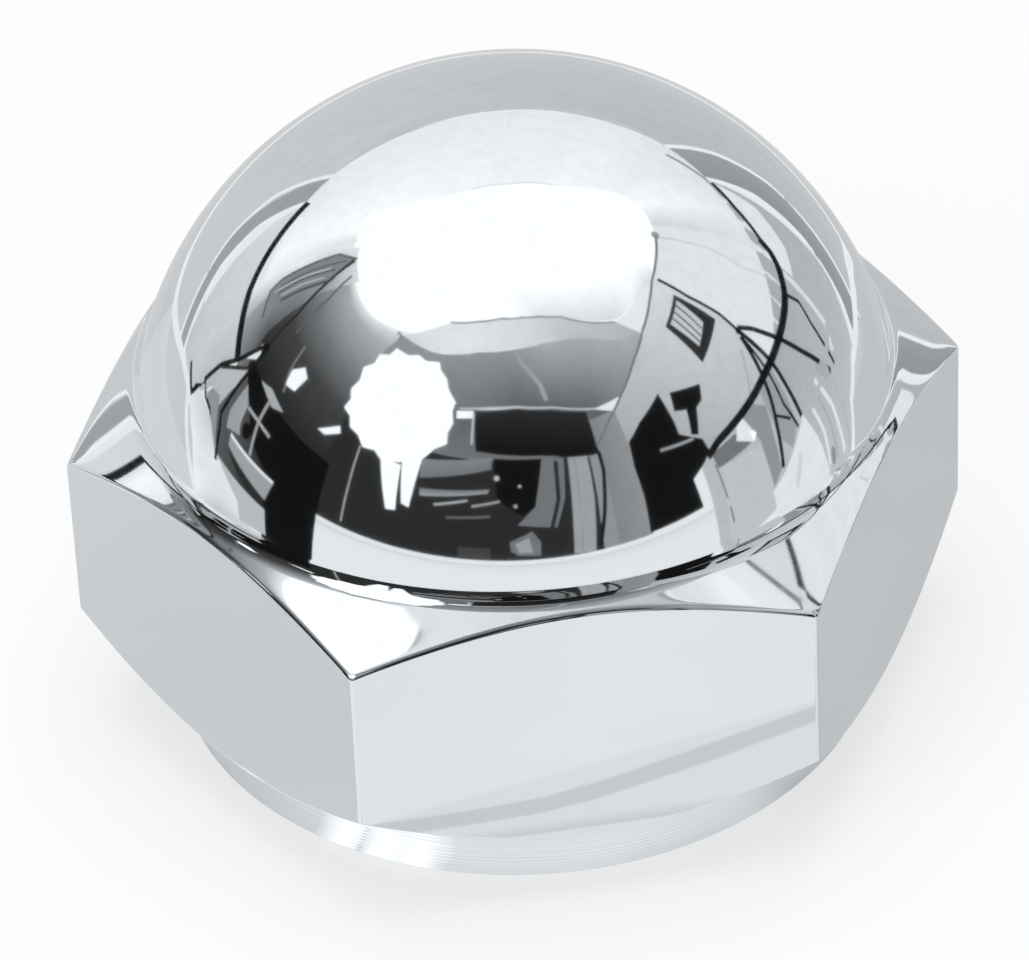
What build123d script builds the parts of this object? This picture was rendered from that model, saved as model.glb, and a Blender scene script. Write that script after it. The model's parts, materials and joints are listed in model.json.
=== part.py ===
from build123d import *
import math
import os

# Cap nut, in millimetres. One solid: hexagonal bar turned to a domed crown above and a round
# bearing collar below, with a blind threaded hole from underneath.
# The origin is the centre of the bearing face. +Z points to the crown, and two of the hexagon's
# corners lie on the X axis.

# Hexagon
across_flats = 30.0
corner_rounding = 0.25  # radius of the upright edges between two flats
rim_rounding = 0.2  # radius of the flats' upper edges, which are polished with the crown

# Bearing collar, and the cone that rises from it to the flats
collar_setback = 1.4  # how far the collar's side stands inside the flats
collar_height = 2.15
collar_chamfer = 0.3
cone_angle = 40.0  # degrees above the bearing plane

# Cove, the hollow turned face on top of the hexagon
flat_top_height = 13.8  # height of a flat at its middle, before the rim is rounded
cove_angle = 38.0  # degrees that the cove falls outwards there
cove_radius = 13.2

# Crown
overall_height = 25.5
dome_setback = 0.66  # how far inside the flats the dome meets the cove
valley_radius = 0.8  # fillet between the dome and the cove

# Blind hole, drilled to the thread's minor diameter
thread_diameter = 20.0
thread_pitch = 1.5
drill_point_angle = 118.0
crown_wall = 3.5  # metal left between the drill point's tip and the top of the crown
mouth_clearance = 0.4  # how far the countersink opens beyond the thread's major radius

# Sizes that follow from those above
hexagon_sides = 6
flat_distance = across_flats / 2
turning_clearance = 1.0  # how far the turned faces run on past the hexagon's corners
blank_radius = flat_distance / math.cos(math.pi / hexagon_sides) + turning_clearance
collar_radius = flat_distance - collar_setback
dome_base_radius = flat_distance - dome_setback
cove_centre_distance = flat_distance + cove_radius * math.sin(math.radians(cove_angle))
cove_centre_height = flat_top_height + cove_radius * math.cos(math.radians(cove_angle))
thread_triangle_height = thread_pitch * math.cos(math.radians(30))
bore_radius = thread_diameter / 2 - 5 / 8 * thread_triangle_height
drill_point_height = bore_radius / math.tan(math.radians(drill_point_angle / 2))
bore_depth = overall_height - crown_wall - drill_point_height
mouth_radius = thread_diameter / 2 + mouth_clearance
mouth_depth = mouth_radius - bore_radius


def cove_height(distance):
    """Height of the cove at a distance from the axis: the lower side of its circle."""
    reach = cove_centre_distance - distance
    return cove_centre_height - math.sqrt(cove_radius**2 - reach**2)


def turned_blank():
    """Solid of revolution with every outer turned face, wider than the hexagon's corners."""
    foot_edge = (collar_radius, 0)
    cone_rise = (blank_radius - collar_radius) * math.tan(math.radians(cone_angle))
    cove_end = (blank_radius, cove_height(blank_radius))
    valley = (dome_base_radius, cove_height(dome_base_radius))
    crown_top = (0, overall_height)
    dome_rise = overall_height - valley[1]
    dome_radius = (dome_base_radius**2 + dome_rise**2) / (2 * dome_rise)
    with BuildPart() as blank:
        with BuildSketch(Plane.YZ) as outline:
            with BuildLine():
                Polyline(
                    crown_top,
                    (0, 0),
                    foot_edge,
                    (collar_radius, collar_height),
                    (blank_radius, collar_height + cone_rise),
                    cove_end,
                )
                RadiusArc(cove_end, valley, cove_radius)
                RadiusArc(valley, crown_top, -dome_radius)
            make_face()
            fillet(outline.vertices().sort_by_distance(valley)[0], valley_radius)
            chamfer(outline.vertices().sort_by_distance(foot_edge)[0], collar_chamfer)
        revolve(axis=Axis.Z)
    return blank.part


def hexagonal_bar():
    """Upright flats and rounded corners, as tall as the nut."""
    with BuildPart() as bar:
        with BuildSketch() as section:
            RegularPolygon(flat_distance, hexagon_sides, major_radius=False)
            fillet(section.vertices(), corner_rounding)
        extrude(amount=overall_height)
    return bar.part


def upper_rims(body):
    """Curved edges where the cove cuts the six flats."""
    upright = body.faces().filter_by(GeomType.PLANE).filter_by(Plane.XY, reverse=True)
    curved = upright.edges().filter_by(GeomType.LINE, reverse=True)
    return curved.filter_by_position(Axis.Z, flat_top_height / 2, overall_height)


def blind_hole():
    """Countersunk mouth, cylindrical wall and drill point, as one solid to take away."""
    with BuildPart() as hole:
        with BuildSketch(Plane.YZ):
            with BuildLine():
                Polyline(
                    (0, 0),
                    (mouth_radius, 0),
                    (bore_radius, mouth_depth),
                    (bore_radius, bore_depth),
                    (0, bore_depth + drill_point_height),
                    close=True,
                )
            make_face()
        revolve(axis=Axis.Z)
    return hole.part


def cap_nut():
    """The finished nut: turned hexagon with rounded upper rims, drilled from below."""
    body = turned_blank() & hexagonal_bar()
    body = fillet(upper_rims(body), rim_rounding)
    return body - blind_hole()


os.makedirs("parts", exist_ok=True)
export_step(cap_nut(), "parts/cap_nut.step")
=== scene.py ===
"""Looks of the cap nut: a polished and chromed shell, a tapped bore, the studio and the camera.

Lengths are in metres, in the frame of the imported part: the origin is the centre of the bearing
face, +Z points to the crown, and two of the hexagon's corners lie on the X axis.
"""

import json
import logging
import math
from dataclasses import dataclass, replace
from enum import Enum
from typing import Callable, Sequence

import bpy
import numpy as np
from mathutils import Matrix, Vector

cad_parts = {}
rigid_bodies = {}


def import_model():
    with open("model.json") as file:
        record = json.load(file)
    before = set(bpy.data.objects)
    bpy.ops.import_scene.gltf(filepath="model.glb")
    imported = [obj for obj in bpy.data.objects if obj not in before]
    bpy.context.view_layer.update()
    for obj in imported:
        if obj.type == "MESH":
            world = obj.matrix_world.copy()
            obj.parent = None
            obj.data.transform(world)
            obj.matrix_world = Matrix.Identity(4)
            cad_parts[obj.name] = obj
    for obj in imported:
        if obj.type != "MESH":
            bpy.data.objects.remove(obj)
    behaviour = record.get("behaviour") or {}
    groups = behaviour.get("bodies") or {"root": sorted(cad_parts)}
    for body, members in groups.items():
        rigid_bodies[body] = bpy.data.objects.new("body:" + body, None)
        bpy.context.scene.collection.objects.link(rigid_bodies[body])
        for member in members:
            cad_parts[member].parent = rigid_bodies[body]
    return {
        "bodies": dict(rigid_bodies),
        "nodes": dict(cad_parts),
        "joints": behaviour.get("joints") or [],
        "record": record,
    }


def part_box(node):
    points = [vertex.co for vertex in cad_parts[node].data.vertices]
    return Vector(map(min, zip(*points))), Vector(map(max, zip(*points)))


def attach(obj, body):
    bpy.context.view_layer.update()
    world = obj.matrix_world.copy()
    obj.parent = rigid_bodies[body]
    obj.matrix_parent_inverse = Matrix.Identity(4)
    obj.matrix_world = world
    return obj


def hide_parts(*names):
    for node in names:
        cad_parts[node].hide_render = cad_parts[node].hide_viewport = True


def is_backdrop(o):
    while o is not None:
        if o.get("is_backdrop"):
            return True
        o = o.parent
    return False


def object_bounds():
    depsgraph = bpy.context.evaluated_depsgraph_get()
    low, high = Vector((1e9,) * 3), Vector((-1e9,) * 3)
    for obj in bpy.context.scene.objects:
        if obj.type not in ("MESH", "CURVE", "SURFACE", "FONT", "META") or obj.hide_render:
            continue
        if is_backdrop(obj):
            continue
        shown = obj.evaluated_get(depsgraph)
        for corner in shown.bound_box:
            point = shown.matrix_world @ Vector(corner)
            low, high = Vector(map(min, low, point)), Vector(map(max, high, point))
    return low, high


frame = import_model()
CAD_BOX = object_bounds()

MM = 0.001
FULL_TURN = 2 * math.pi
SMALLEST_SHARE = 1e-4  # keeps the slope of a polished rim finite at the flat
HAIR_TURN = 1e-6  # radians to each side of an angle, for the direction round the axis
HAIR = 1e-7  # metres to each side of a height, for the direction along the bore's wall
LEAST_FALL = 1e-9  # keeps the way to the floor finite for directions that don't fall
ZENITH = 89.9  # degrees, just short of the point where all azimuths meet
NOISE_MIDDLE = 0.5  # average value of a Noise Texture
NODE = "cap_nut"
BODY = "root"

log = logging.getLogger("cap_nut_scene")

Point = tuple[float, float]
Spot = tuple[float | np.ndarray, float | np.ndarray]  # two numbers, or two rows of them
Value = float | bpy.types.NodeSocket  # what feeds a node's input


# Sections in the plane of the axis


@dataclass(frozen=True)
class Stretch:
    """One stretch of a section, a row for each point and a column for each angle round the axis.

    radius and height give the place, run and rise the unit direction of travel.
    """

    radius: np.ndarray
    height: np.ndarray
    run: np.ndarray
    rise: np.ndarray

    def rows(self, wanted: slice) -> "Stretch":
        """The stretch with only the wanted rows."""
        return Stretch(self.radius[wanted], self.height[wanted], self.run[wanted], self.rise[wanted])


def joined(stretches: Sequence[Stretch], columns: int) -> Stretch:
    """Puts stretches end to end.

    Args:
        stretches: the stretches in the order of travel.
        columns: how many angles the section is worked out for.
    Returns:
        One stretch with every array of rows by columns.
    """
    whole = {}
    for name in ("radius", "height", "run", "rise"):
        parts = [getattr(s, name) for s in stretches]
        whole[name] = np.vstack([np.broadcast_to(p, (p.shape[0], columns)) for p in parts])
    return Stretch(**whole)


def as_row(value: float | np.ndarray) -> np.ndarray:
    """The value as one row of a section: a single column, or one for each angle."""
    return np.atleast_1d(np.asarray(value, float))[None, :]


def shares(count: int, last: bool = False) -> np.ndarray:
    """Shares of the way from 0 towards 1, as a column of rows; with last, 1 is one of them."""
    return (np.arange(count) / (count - 1 if last else count))[:, None]


def straight(start: Spot, end: Spot, count: int, last: bool = False) -> Stretch:
    """A straight stretch: start plus a share of the way to end.

    Args:
        start: radius and height where it begins.
        end: radius and height where it ends.
        count: how many rows it has.
        last: whether the last row is the end itself.
    Returns:
        The stretch.
    """
    share = shares(count, last)
    run = as_row(end[0]) - as_row(start[0])
    rise = as_row(end[1]) - as_row(start[1])
    length = np.hypot(run, rise)
    still = np.ones_like(share)
    return Stretch(
        as_row(start[0]) + share * run,
        as_row(start[1]) + share * rise,
        still * run / length,
        still * rise / length,
    )


def bend(corner: Spot, heading: Spot, radius: float, count: int) -> Stretch:
    """A rounded corner: the arc that is tangent to both directions.

    It starts radius times the tangent of half the turn before the corner. Its points are its
    centre plus the radius across the heading, which turns evenly.

    Args:
        corner: radius and height where the two straight sides would meet.
        heading: direction of travel before and after, in radians above outwards.
        radius: the arc's radius.
        count: how many rows it has, its end included.
    Returns:
        The stretch.
    """
    first, final = as_row(heading[0]), as_row(heading[1])
    turn = final - first
    side = np.sign(turn)
    setback = radius * np.tan(np.abs(turn) / 2)
    centre_radius = as_row(corner[0]) - setback * np.cos(first) - side * radius * np.sin(first)
    centre_height = as_row(corner[1]) - setback * np.sin(first) + side * radius * np.cos(first)
    now = first + shares(count, last=True) * turn
    return Stretch(
        centre_radius + side * radius * np.sin(now),
        centre_height - side * radius * np.cos(now),
        np.cos(now),
        np.sin(now),
    )


def without_ends(stretch: Stretch) -> Stretch:
    """The stretch without its first and last row, which its neighbours already have."""
    return stretch.rows(slice(1, -1))


def without_first(stretch: Stretch) -> Stretch:
    """The stretch without its first row, which the one before it already has."""
    return stretch.rows(slice(1, None))


# The nut's form


@dataclass(frozen=True)
class NutSizes:
    """Sizes of the nut. The first four come from the frame, the others are the part's own.

    The rims' depths, reaches and edges have one number for each flat, from +X round by +Y.
    """

    across_flats: float
    overall_height: float
    bore_radius: float
    thread_end: float
    corner_rounding: float = 0.25 * MM
    rim_depths: tuple[float, ...] = (0.06 * MM, 0.1 * MM, 0.17 * MM, 0.03 * MM, 0.04 * MM, 0.06 * MM)
    rim_reaches: tuple[float, ...] = (0.66 * MM, 0.6 * MM, 0.94 * MM, 0.6 * MM, 1.0 * MM, 0.66 * MM)
    rim_edges: tuple[float, ...] = (0.02 * MM, 0.03 * MM, 0.02 * MM, 0.1 * MM, 0.12 * MM, 0.03 * MM)
    rim_edge_spread: float = 1.6
    lower_rim_rounding: float = 0.12 * MM
    collar_setback: float = 1.4 * MM
    collar_height: float = 2.15 * MM
    collar_chamfer: float = 0.3 * MM
    collar_root_rounding: float = 0.15 * MM
    edge_rounding: float = 0.06 * MM
    cone_angle: float = math.radians(40)
    flat_top_height: float = 13.75 * MM
    cove_angle: float = math.radians(35.5)
    cove_radius: float = 38.5 * MM
    dome_radius: float = 14.797 * MM
    valley_radius: float = 1.38 * MM
    thread_diameter: float = 20.0 * MM
    thread_pitch: float = 1.5 * MM
    mouth_clearance: float = 0.4 * MM
    drill_point_angle: float = math.radians(118)
    hexagon_sides: int = 6

    @classmethod
    def from_frame(cls, packed: dict) -> "NutSizes":
        """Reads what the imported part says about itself.

        Args:
        Returns:
            The sizes.
        """
        low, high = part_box(NODE)
        thread = next(m for m in packed["record"]["mounts"] if m["name"] == "thread")
        half_length = thread["dims"]["length_mm"] * MM / 2
        return cls(
            across_flats=high.y - low.y,
            overall_height=high.z,
            bore_radius=thread["dims"]["r_mm"] * MM,
            thread_end=thread["pos_m"][2] + half_length,
        )

    @property
    def flat_distance(self) -> float:
        """From the axis to a flat."""
        return self.across_flats / 2

    @property
    def collar_radius(self) -> float:
        """Radius of the collar's side."""
        return self.flat_distance - self.collar_setback

    @property
    def mouth_radius(self) -> float:
        """Radius of the countersink at the bearing face."""
        return self.thread_diameter / 2 + self.mouth_clearance

    @property
    def cove_centre(self) -> Point:
        """Where the centre of the cove's circle lies.

        Returns:
            Radius and height.
        """
        return (
            self.flat_distance + self.cove_radius * math.sin(self.cove_angle),
            self.flat_top_height + self.cove_radius * math.cos(self.cove_angle),
        )

    @property
    def dome_height(self) -> float:
        """Height of the dome's centre on the axis."""
        return self.overall_height - self.dome_radius

    @property
    def valley_centre(self) -> Point:
        """Radius and height of the valley fillet's centre.

        It lies where a circle round the dome, one fillet larger, meets a circle round the
        cove's centre, one fillet smaller: the lower of the two crossings.

        Returns:
            Radius and height.
        """
        cove_out, cove_up = self.cove_centre
        near, far = self.dome_radius + self.valley_radius, self.cove_radius - self.valley_radius
        across, up = cove_out, cove_up - self.dome_height
        span = math.hypot(across, up)
        along = (near**2 - far**2 + span**2) / (2 * span)
        aside = math.sqrt(near**2 - along**2)
        return (
            (along * across + aside * up) / span,
            self.dome_height + (along * up - aside * across) / span,
        )

    def cove_height(self, radius: float | np.ndarray) -> float | np.ndarray:
        """Height of the cove at a radius: the lower side of its circle."""
        centre_radius, centre_height = self.cove_centre
        return centre_height - np.sqrt(self.cove_radius**2 - (centre_radius - radius) ** 2)

    def cone_height(self, radius: float | np.ndarray) -> float | np.ndarray:
        """Height of the cone under the hexagon at a radius."""
        return self.collar_height + (radius - self.collar_radius) * math.tan(self.cone_angle)

    @property
    def rounding_angle(self) -> float:
        """Half the angle, seen from the axis, that a rounded corner takes up.

        The rounding meets the flat at (flat distance minus rounding) times the tangent of half
        a side's angle from the flat's middle.

        Returns:
            The angle in radians.
        """
        half_side = math.pi / self.hexagon_sides
        along = (self.flat_distance - self.corner_rounding) * math.tan(half_side)
        return half_side - math.atan(along / self.flat_distance)

    def hexagon_radius(self, angle: np.ndarray) -> np.ndarray:
        """Distance from the axis to the hexagon's outline in a direction.

        On a flat it is the flat distance over the cosine of the angle from the flat's middle.
        At a corner it is the far crossing of the direction with the rounding's circle.

        Args:
            angle: directions in radians, with a corner at zero.
        Returns:
            The distances.
        """
        side = FULL_TURN / self.hexagon_sides
        from_corner = np.abs((angle + side / 2) % side - side / 2)
        flat = self.flat_distance / np.cos(side / 2 - from_corner)
        centre = (self.flat_distance - self.corner_rounding) / math.cos(side / 2)
        reach = self.corner_rounding**2 - (centre * np.sin(from_corner)) ** 2
        corner = centre * np.cos(from_corner) + np.sqrt(np.maximum(reach, 0))
        return np.where(from_corner < self.rounding_angle, corner, flat)

    def polished_drop(self, angle: np.ndarray, radius: np.ndarray) -> tuple[np.ndarray, np.ndarray]:
        """How far polishing has rolled the top down towards the flats, and its slope.

        Each flat takes off a depth times the square of one less a share, which is the root of
        the distance to the flat over a reach. That is upright at the flat and fades out at the
        reach. It does so twice: wide and shallow from the polishing wheel, and narrow at the very
        edge. Two flats add up near their corner. There the radius is stretched to the sharp
        corner, so that the rounded one is upright too.

        Args:
            angle: directions in radians.
            radius: distances from the axis, rows by columns.
        Returns:
            The drop, and how fast it grows outwards.
        """
        side = FULL_TURN / self.hexagon_sides
        outline = self.hexagon_radius(angle)
        sharp = self.flat_distance / np.cos(angle % side - side / 2)
        nearness = np.clip(1 - (outline - radius) / max(self.rim_reaches), 0, 1)
        stretched = radius + (sharp - outline) * nearness**2
        drop, slope = np.zeros_like(stretched), np.zeros_like(stretched)
        wide = zip(self.rim_depths, self.rim_reaches)
        narrow = [(edge, edge * self.rim_edge_spread) for edge in self.rim_edges]
        for flat, rolls in enumerate(zip(wide, narrow)):
            facing = np.cos(angle - (flat + 0.5) * side)
            distance = np.maximum(self.flat_distance - stretched * facing, 0)
            for depth, reach in rolls:
                share = np.clip(np.sqrt(distance / reach), SMALLEST_SHARE, 1)
                drop += depth * (1 - share) ** 2
                slope += facing * depth * (1 - share) / (share * reach)
        return drop, slope


@dataclass(frozen=True)
class Grid:
    """A grid of points round the axis with their normals, a row for each ring."""

    points: np.ndarray
    normals: np.ndarray

    @property
    def rings(self) -> int:
        """How many rings it has."""
        return self.points.shape[0]

    @property
    def columns(self) -> int:
        """How many points a ring has."""
        return self.points.shape[1]


def turned_grid(section: Callable[[np.ndarray], Stretch], angles: np.ndarray) -> Grid:
    """Carries a section round the axis.

    A point lies at radius times (cosine, sine) of its angle, and at its height. Its normal is
    the cross product of the way round, taken between two angles a hair apart, and the way along
    the section.

    Args:
        section: gives the section for an array of angles.
        angles: the angles of the columns.
    Returns:
        The grid.
    """

    def placed(theta: np.ndarray) -> np.ndarray:
        """Points of the section at these angles."""
        s = section(theta)
        return np.stack([s.radius * np.cos(theta), s.radius * np.sin(theta), s.height], axis=-1)

    middle = section(angles)
    around = placed(angles + HAIR_TURN) - placed(angles - HAIR_TURN)
    outward = [middle.run * np.cos(angles), middle.run * np.sin(angles), middle.rise]
    along = np.stack(outward, axis=-1)
    normals = np.cross(around, along)
    normals /= np.linalg.norm(normals, axis=-1, keepdims=True)
    return Grid(placed(angles), normals)


@dataclass(frozen=True)
class OuterForm:
    """Everything seen from outside: bearing face, collar, cone, flats, cove and dome."""

    sizes: NutSizes
    ring_start: float
    ring_rows: int = 4
    edge_rows: int = 4
    side_rows: int = 8
    flat_rows: int = 10
    cove_rows: int = 40
    rim_crowding: float = 1.7
    valley_rows: int = 14
    dome_rows: int = 80
    corner_steps: int = 4
    flat_steps: int = 56

    def angles(self) -> np.ndarray:
        """Angles of the columns: close together round each corner, evenly spaced on each flat.

        Returns:
            The angles, rising.
        """
        side = FULL_TURN / self.sizes.hexagon_sides
        rounding = self.sizes.rounding_angle
        corner = np.linspace(-rounding, rounding, 2 * self.corner_steps, endpoint=False)
        flat = np.linspace(rounding, side - rounding, self.flat_steps, endpoint=False)
        one_side = np.concatenate([corner, flat])
        starts = side * np.arange(self.sizes.hexagon_sides)
        return (starts[:, None] + one_side[None, :]).ravel()

    def foot(self) -> list[Stretch]:
        """Bearing face, chamfer and collar side.

        Returns:
            The stretches.
        """
        s = self.sizes
        chamfer = s.collar_chamfer
        inner, outer = (s.collar_radius - chamfer, 0.0), (s.collar_radius, chamfer)
        under_edge = bend(inner, (0.0, math.pi / 4), s.edge_rounding, self.edge_rows)
        side_edge = bend(outer, (math.pi / 4, math.pi / 2), s.edge_rounding, self.edge_rows)
        root = bend(
            (s.collar_radius, s.collar_height),
            (math.pi / 2, s.cone_angle),
            s.collar_root_rounding,
            self.edge_rows,
        )
        ring_end = (under_edge.radius[0, 0], under_edge.height[0, 0])
        side_start = (side_edge.radius[-1, 0], side_edge.height[-1, 0])
        side_end = (root.radius[0, 0], root.height[0, 0])
        return [
            straight((self.ring_start, 0.0), ring_end, self.ring_rows),
            under_edge,
            side_edge,
            without_ends(straight(side_start, side_end, self.side_rows, last=True)),
            root,
        ]

    def hexagon(self, angle: np.ndarray, outline: np.ndarray) -> list[Stretch]:
        """Cone, lower rim and flat, up to the upper rim.

        Args:
            angle: the columns' angles.
            outline: the hexagon's radius for each column.
        Returns:
            The stretches.
        """
        s = self.sizes
        low = bend(
            (outline, s.cone_height(outline)),
            (s.cone_angle, math.pi / 2),
            s.lower_rim_rounding,
            self.edge_rows,
        )
        root_end = self.foot()[-1]
        cone = straight(
            (root_end.radius[-1], root_end.height[-1]),
            (low.radius[0], low.height[0]),
            self.edge_rows + 1,
            last=True,
        )
        rim_height = s.cove_height(outline) - s.polished_drop(angle, outline[None, :])[0][0]
        flat = straight(
            (low.radius[-1], low.height[-1]), (outline, rim_height), self.flat_rows, last=True
        )
        return [without_ends(cone), low, without_ends(flat)]

    def crown(self, angle: np.ndarray, outline: np.ndarray) -> list[Stretch]:
        """Cove from the rim inwards, valley fillet, and dome to the pole.

        On the cove the radius goes from the outline to the valley by a power of the share of
        the way, so that the rows lie close together where polishing has rolled the rim.

        Args:
            angle: the columns' angles.
            outline: the hexagon's radius for each column.
        Returns:
            The stretches, the pole's ring left out.
        """
        s = self.sizes
        cove_out, cove_up = s.cove_centre
        valley_out, valley_up = s.valley_centre
        cove_end = math.atan2(valley_up - cove_up, valley_out - cove_out)
        valley_start = cove_out + s.cove_radius * math.cos(cove_end)
        share = shares(self.cove_rows, last=True) ** self.rim_crowding
        radius = outline + share * (valley_start - outline)
        fall = np.arcsin((cove_out - radius) / s.cove_radius)
        cove = Stretch(radius, s.cove_height(radius), -np.cos(fall), np.sin(fall))
        base = math.atan2(valley_up - s.dome_height, valley_out)
        first = (cove_end - math.pi / 2) % FULL_TURN
        turning = first + shares(self.valley_rows, last=True) * (base + math.pi / 2 - first)
        valley = Stretch(
            valley_out - s.valley_radius * np.sin(turning),
            valley_up + s.valley_radius * np.cos(turning),
            np.cos(turning),
            np.sin(turning),
        )
        climb = base + shares(self.dome_rows)[1:] * (math.pi / 2 - base)
        dome = Stretch(
            s.dome_radius * np.cos(climb),
            s.dome_height + s.dome_radius * np.sin(climb),
            -np.sin(climb),
            np.cos(climb),
        )
        whole = joined([cove, without_first(valley), dome], outline.size)
        drop, slope = s.polished_drop(angle, whole.radius)
        rise = whole.rise - whole.run * slope
        length = np.hypot(whole.run, rise)
        return [Stretch(whole.radius, whole.height - drop, whole.run / length, rise / length)]

    def section(self, angle: np.ndarray) -> Stretch:
        """The whole outer section.

        Args:
            angle: the columns' angles.
        Returns:
            The section, from the bearing face to the dome.
        """
        outline = self.sizes.hexagon_radius(angle)
        stretches = self.foot() + self.hexagon(angle, outline) + self.crown(angle, outline)
        return joined(stretches, angle.size)

    def grid(self) -> Grid:
        """The outer surface as a grid."""
        return turned_grid(self.section, self.angles())


@dataclass(frozen=True)
class BoreForm:
    """The blind hole: drill point, tapped wall and countersunk mouth."""

    sizes: NutSizes
    columns: int = 144
    cone_rows: int = 8
    edge_rows: int = 5
    wall_rows: int = 150
    ring_width: float = 0.6 * MM
    root_rounding: float = 0.3 * MM
    mouth_rounding: float = 0.12 * MM
    ring_rows: int = 2
    root_share: float = 1 / 8
    crest_share: float = 1 / 4
    runout: float = 2.6 * MM
    runout_length: float = 1.2 * MM
    crest_softness: float = 0.06

    @property
    def ring_end(self) -> float:
        """Radius of the last ring, on the bearing face."""
        return self.sizes.mouth_radius + self.ring_width

    @property
    def tip_height(self) -> float:
        """Height of the drill point's tip."""
        s = self.sizes
        return s.thread_end + s.bore_radius / math.tan(s.drill_point_angle / 2)

    def thread_depth(self, angle: np.ndarray, height: np.ndarray) -> np.ndarray:
        """How far the thread's groove goes into the wall.

        The phase is height over pitch less the share of a turn, so the groove climbs one pitch
        in a right-hand turn. Over a pitch the depth is a trapezoid: full over the root's share
        of the pitch, none over the crest's share, and a straight rise between them. Its corners
        are softened: the share of the full depth is half of (the root of the squares of rise
        and softness, less the same root for one less rise, plus one). Below the drill point it
        fades out by three squares less two cubes of the way that is left.

        Args:
            angle: directions in radians.
            height: heights above the bearing face.
        Returns:
            The depths.
        """
        s = self.sizes
        full = s.thread_diameter / 2 - s.bore_radius
        phase = (height / s.thread_pitch - angle / FULL_TURN) % 1.0
        from_root = np.minimum(phase, 1 - phase)
        crest_start = (1 - self.crest_share) / 2
        rise = (crest_start - from_root) / (crest_start - self.root_share / 2)
        soft = self.crest_softness
        share = (np.sqrt(rise**2 + soft**2) - np.sqrt((1 - rise) ** 2 + soft**2) + 1) / 2
        left = np.clip((s.thread_end - self.runout - height) / self.runout_length, 0, 1)
        return full * np.clip(share, 0, 1) * left * left * (3 - 2 * left)

    def wall_radius(self, angle: np.ndarray, height: np.ndarray) -> np.ndarray:
        """Radius of the wall: the deeper of the countersink and the threaded hole."""
        countersink = self.sizes.mouth_radius - height
        return np.maximum(countersink, self.sizes.bore_radius + self.thread_depth(angle, height))

    def section(self, angle: np.ndarray) -> Stretch:
        """The bore's section, from the drill point's tip down and out to the bearing face.

        Args:
            angle: the columns' angles.
        Returns:
            The section.
        """
        s = self.sizes
        steep = s.drill_point_angle / 2 - math.pi / 2
        root = bend(
            (s.bore_radius, s.thread_end), (steep, -math.pi / 2), self.root_rounding, self.edge_rows
        )
        mouth = bend(
            (s.mouth_radius, 0.0), (-math.pi / 4, 0.0), self.mouth_rounding, self.edge_rows
        )
        root_start = (root.radius[0], root.height[0])
        cone = straight((0.0, self.tip_height), root_start, self.cone_rows, last=True)
        top, bottom = root.height[-1, 0], mouth.height[0, 0]
        height = (top + shares(self.wall_rows, last=True) * (bottom - top))[1:-1]
        radius = self.wall_radius(angle, height)
        outward = self.wall_radius(angle, height - HAIR) - self.wall_radius(angle, height + HAIR)
        length = np.hypot(outward, 2 * HAIR)
        wall = Stretch(radius, height, outward / length, -2 * HAIR / length)
        ring_start = (mouth.radius[-1, 0], 0.0)
        ring = straight(ring_start, (self.ring_end, 0.0), self.ring_rows + 1, last=True)
        stretches = [without_ends(cone), root, wall, mouth, without_first(ring)]
        return joined(stretches, angle.size)

    def grid(self) -> Grid:
        """The bore's surface as a grid."""
        angles = np.linspace(0, FULL_TURN, self.columns, endpoint=False)
        return turned_grid(self.section, angles)


def ring_quads(first: int, rings: int, columns: int) -> np.ndarray:
    """Faces of a closed grid: each joins two neighbours of a ring to the two on the next ring.

    Args:
        first: number of the grid's first point.
        rings: how many rings the grid has.
        columns: how many points a ring has.
    Returns:
        Point numbers, four to a face.
    """
    ring, column = np.meshgrid(np.arange(rings - 1), np.arange(columns), indexing="ij")
    following = (column + 1) % columns
    here, there = first + ring * columns, first + (ring + 1) * columns
    corners = [here + column, here + following, there + following, there + column]
    return np.stack(corners, axis=-1).reshape(-1, 4)


def fan(pole: int, ring: np.ndarray, pole_first: bool) -> np.ndarray:
    """Triangles between a pole and the ring next to it.

    Args:
        pole: number of the pole's point.
        ring: point numbers of the ring.
        pole_first: whether the pole comes before the ring in the order of the grid.
    Returns:
        Point numbers, three to a face.
    """
    following = np.roll(ring, -1)
    poles = np.full_like(ring, pole)
    corners = [poles, following, ring] if pole_first else [poles, ring, following]
    return np.stack(corners, axis=-1)


def bridge(
    inner: np.ndarray, outer: np.ndarray, inner_angles: np.ndarray, outer_angles: np.ndarray
) -> np.ndarray:
    """Triangles between two rings that differ in their number of points.

    The points of both rings are taken in the order of their angles. Each one closes a triangle
    with the point before it on its own ring and the latest point of the other ring.

    Args:
        inner: point numbers of the inner ring.
        outer: point numbers of the outer ring.
        inner_angles: angles of the inner ring's points, rising.
        outer_angles: angles of the outer ring's points, rising.
    Returns:
        Point numbers, three to a face.
    """
    ends = np.concatenate([inner_angles[1:], inner_angles[:1] + FULL_TURN])
    outer_ends = np.concatenate([outer_angles[1:], outer_angles[:1] + FULL_TURN])
    order = np.argsort(np.concatenate([ends, outer_ends]), kind="stable")
    from_inner = order < inner.size
    inner_taken, outer_taken = np.cumsum(from_inner), np.cumsum(~from_inner)
    inner_now, outer_now = inner[inner_taken % inner.size], outer[outer_taken % outer.size]
    inner_before = inner[(inner_taken - 1) % inner.size]
    outer_before = outer[(outer_taken - 1) % outer.size]
    by_inner = np.stack([inner_before, inner_now, outer_now], axis=-1)
    by_outer = np.stack([inner_now, outer_now, outer_before], axis=-1)
    return np.where(from_inner[:, None], by_inner, by_outer)


# Node groups and materials


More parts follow.
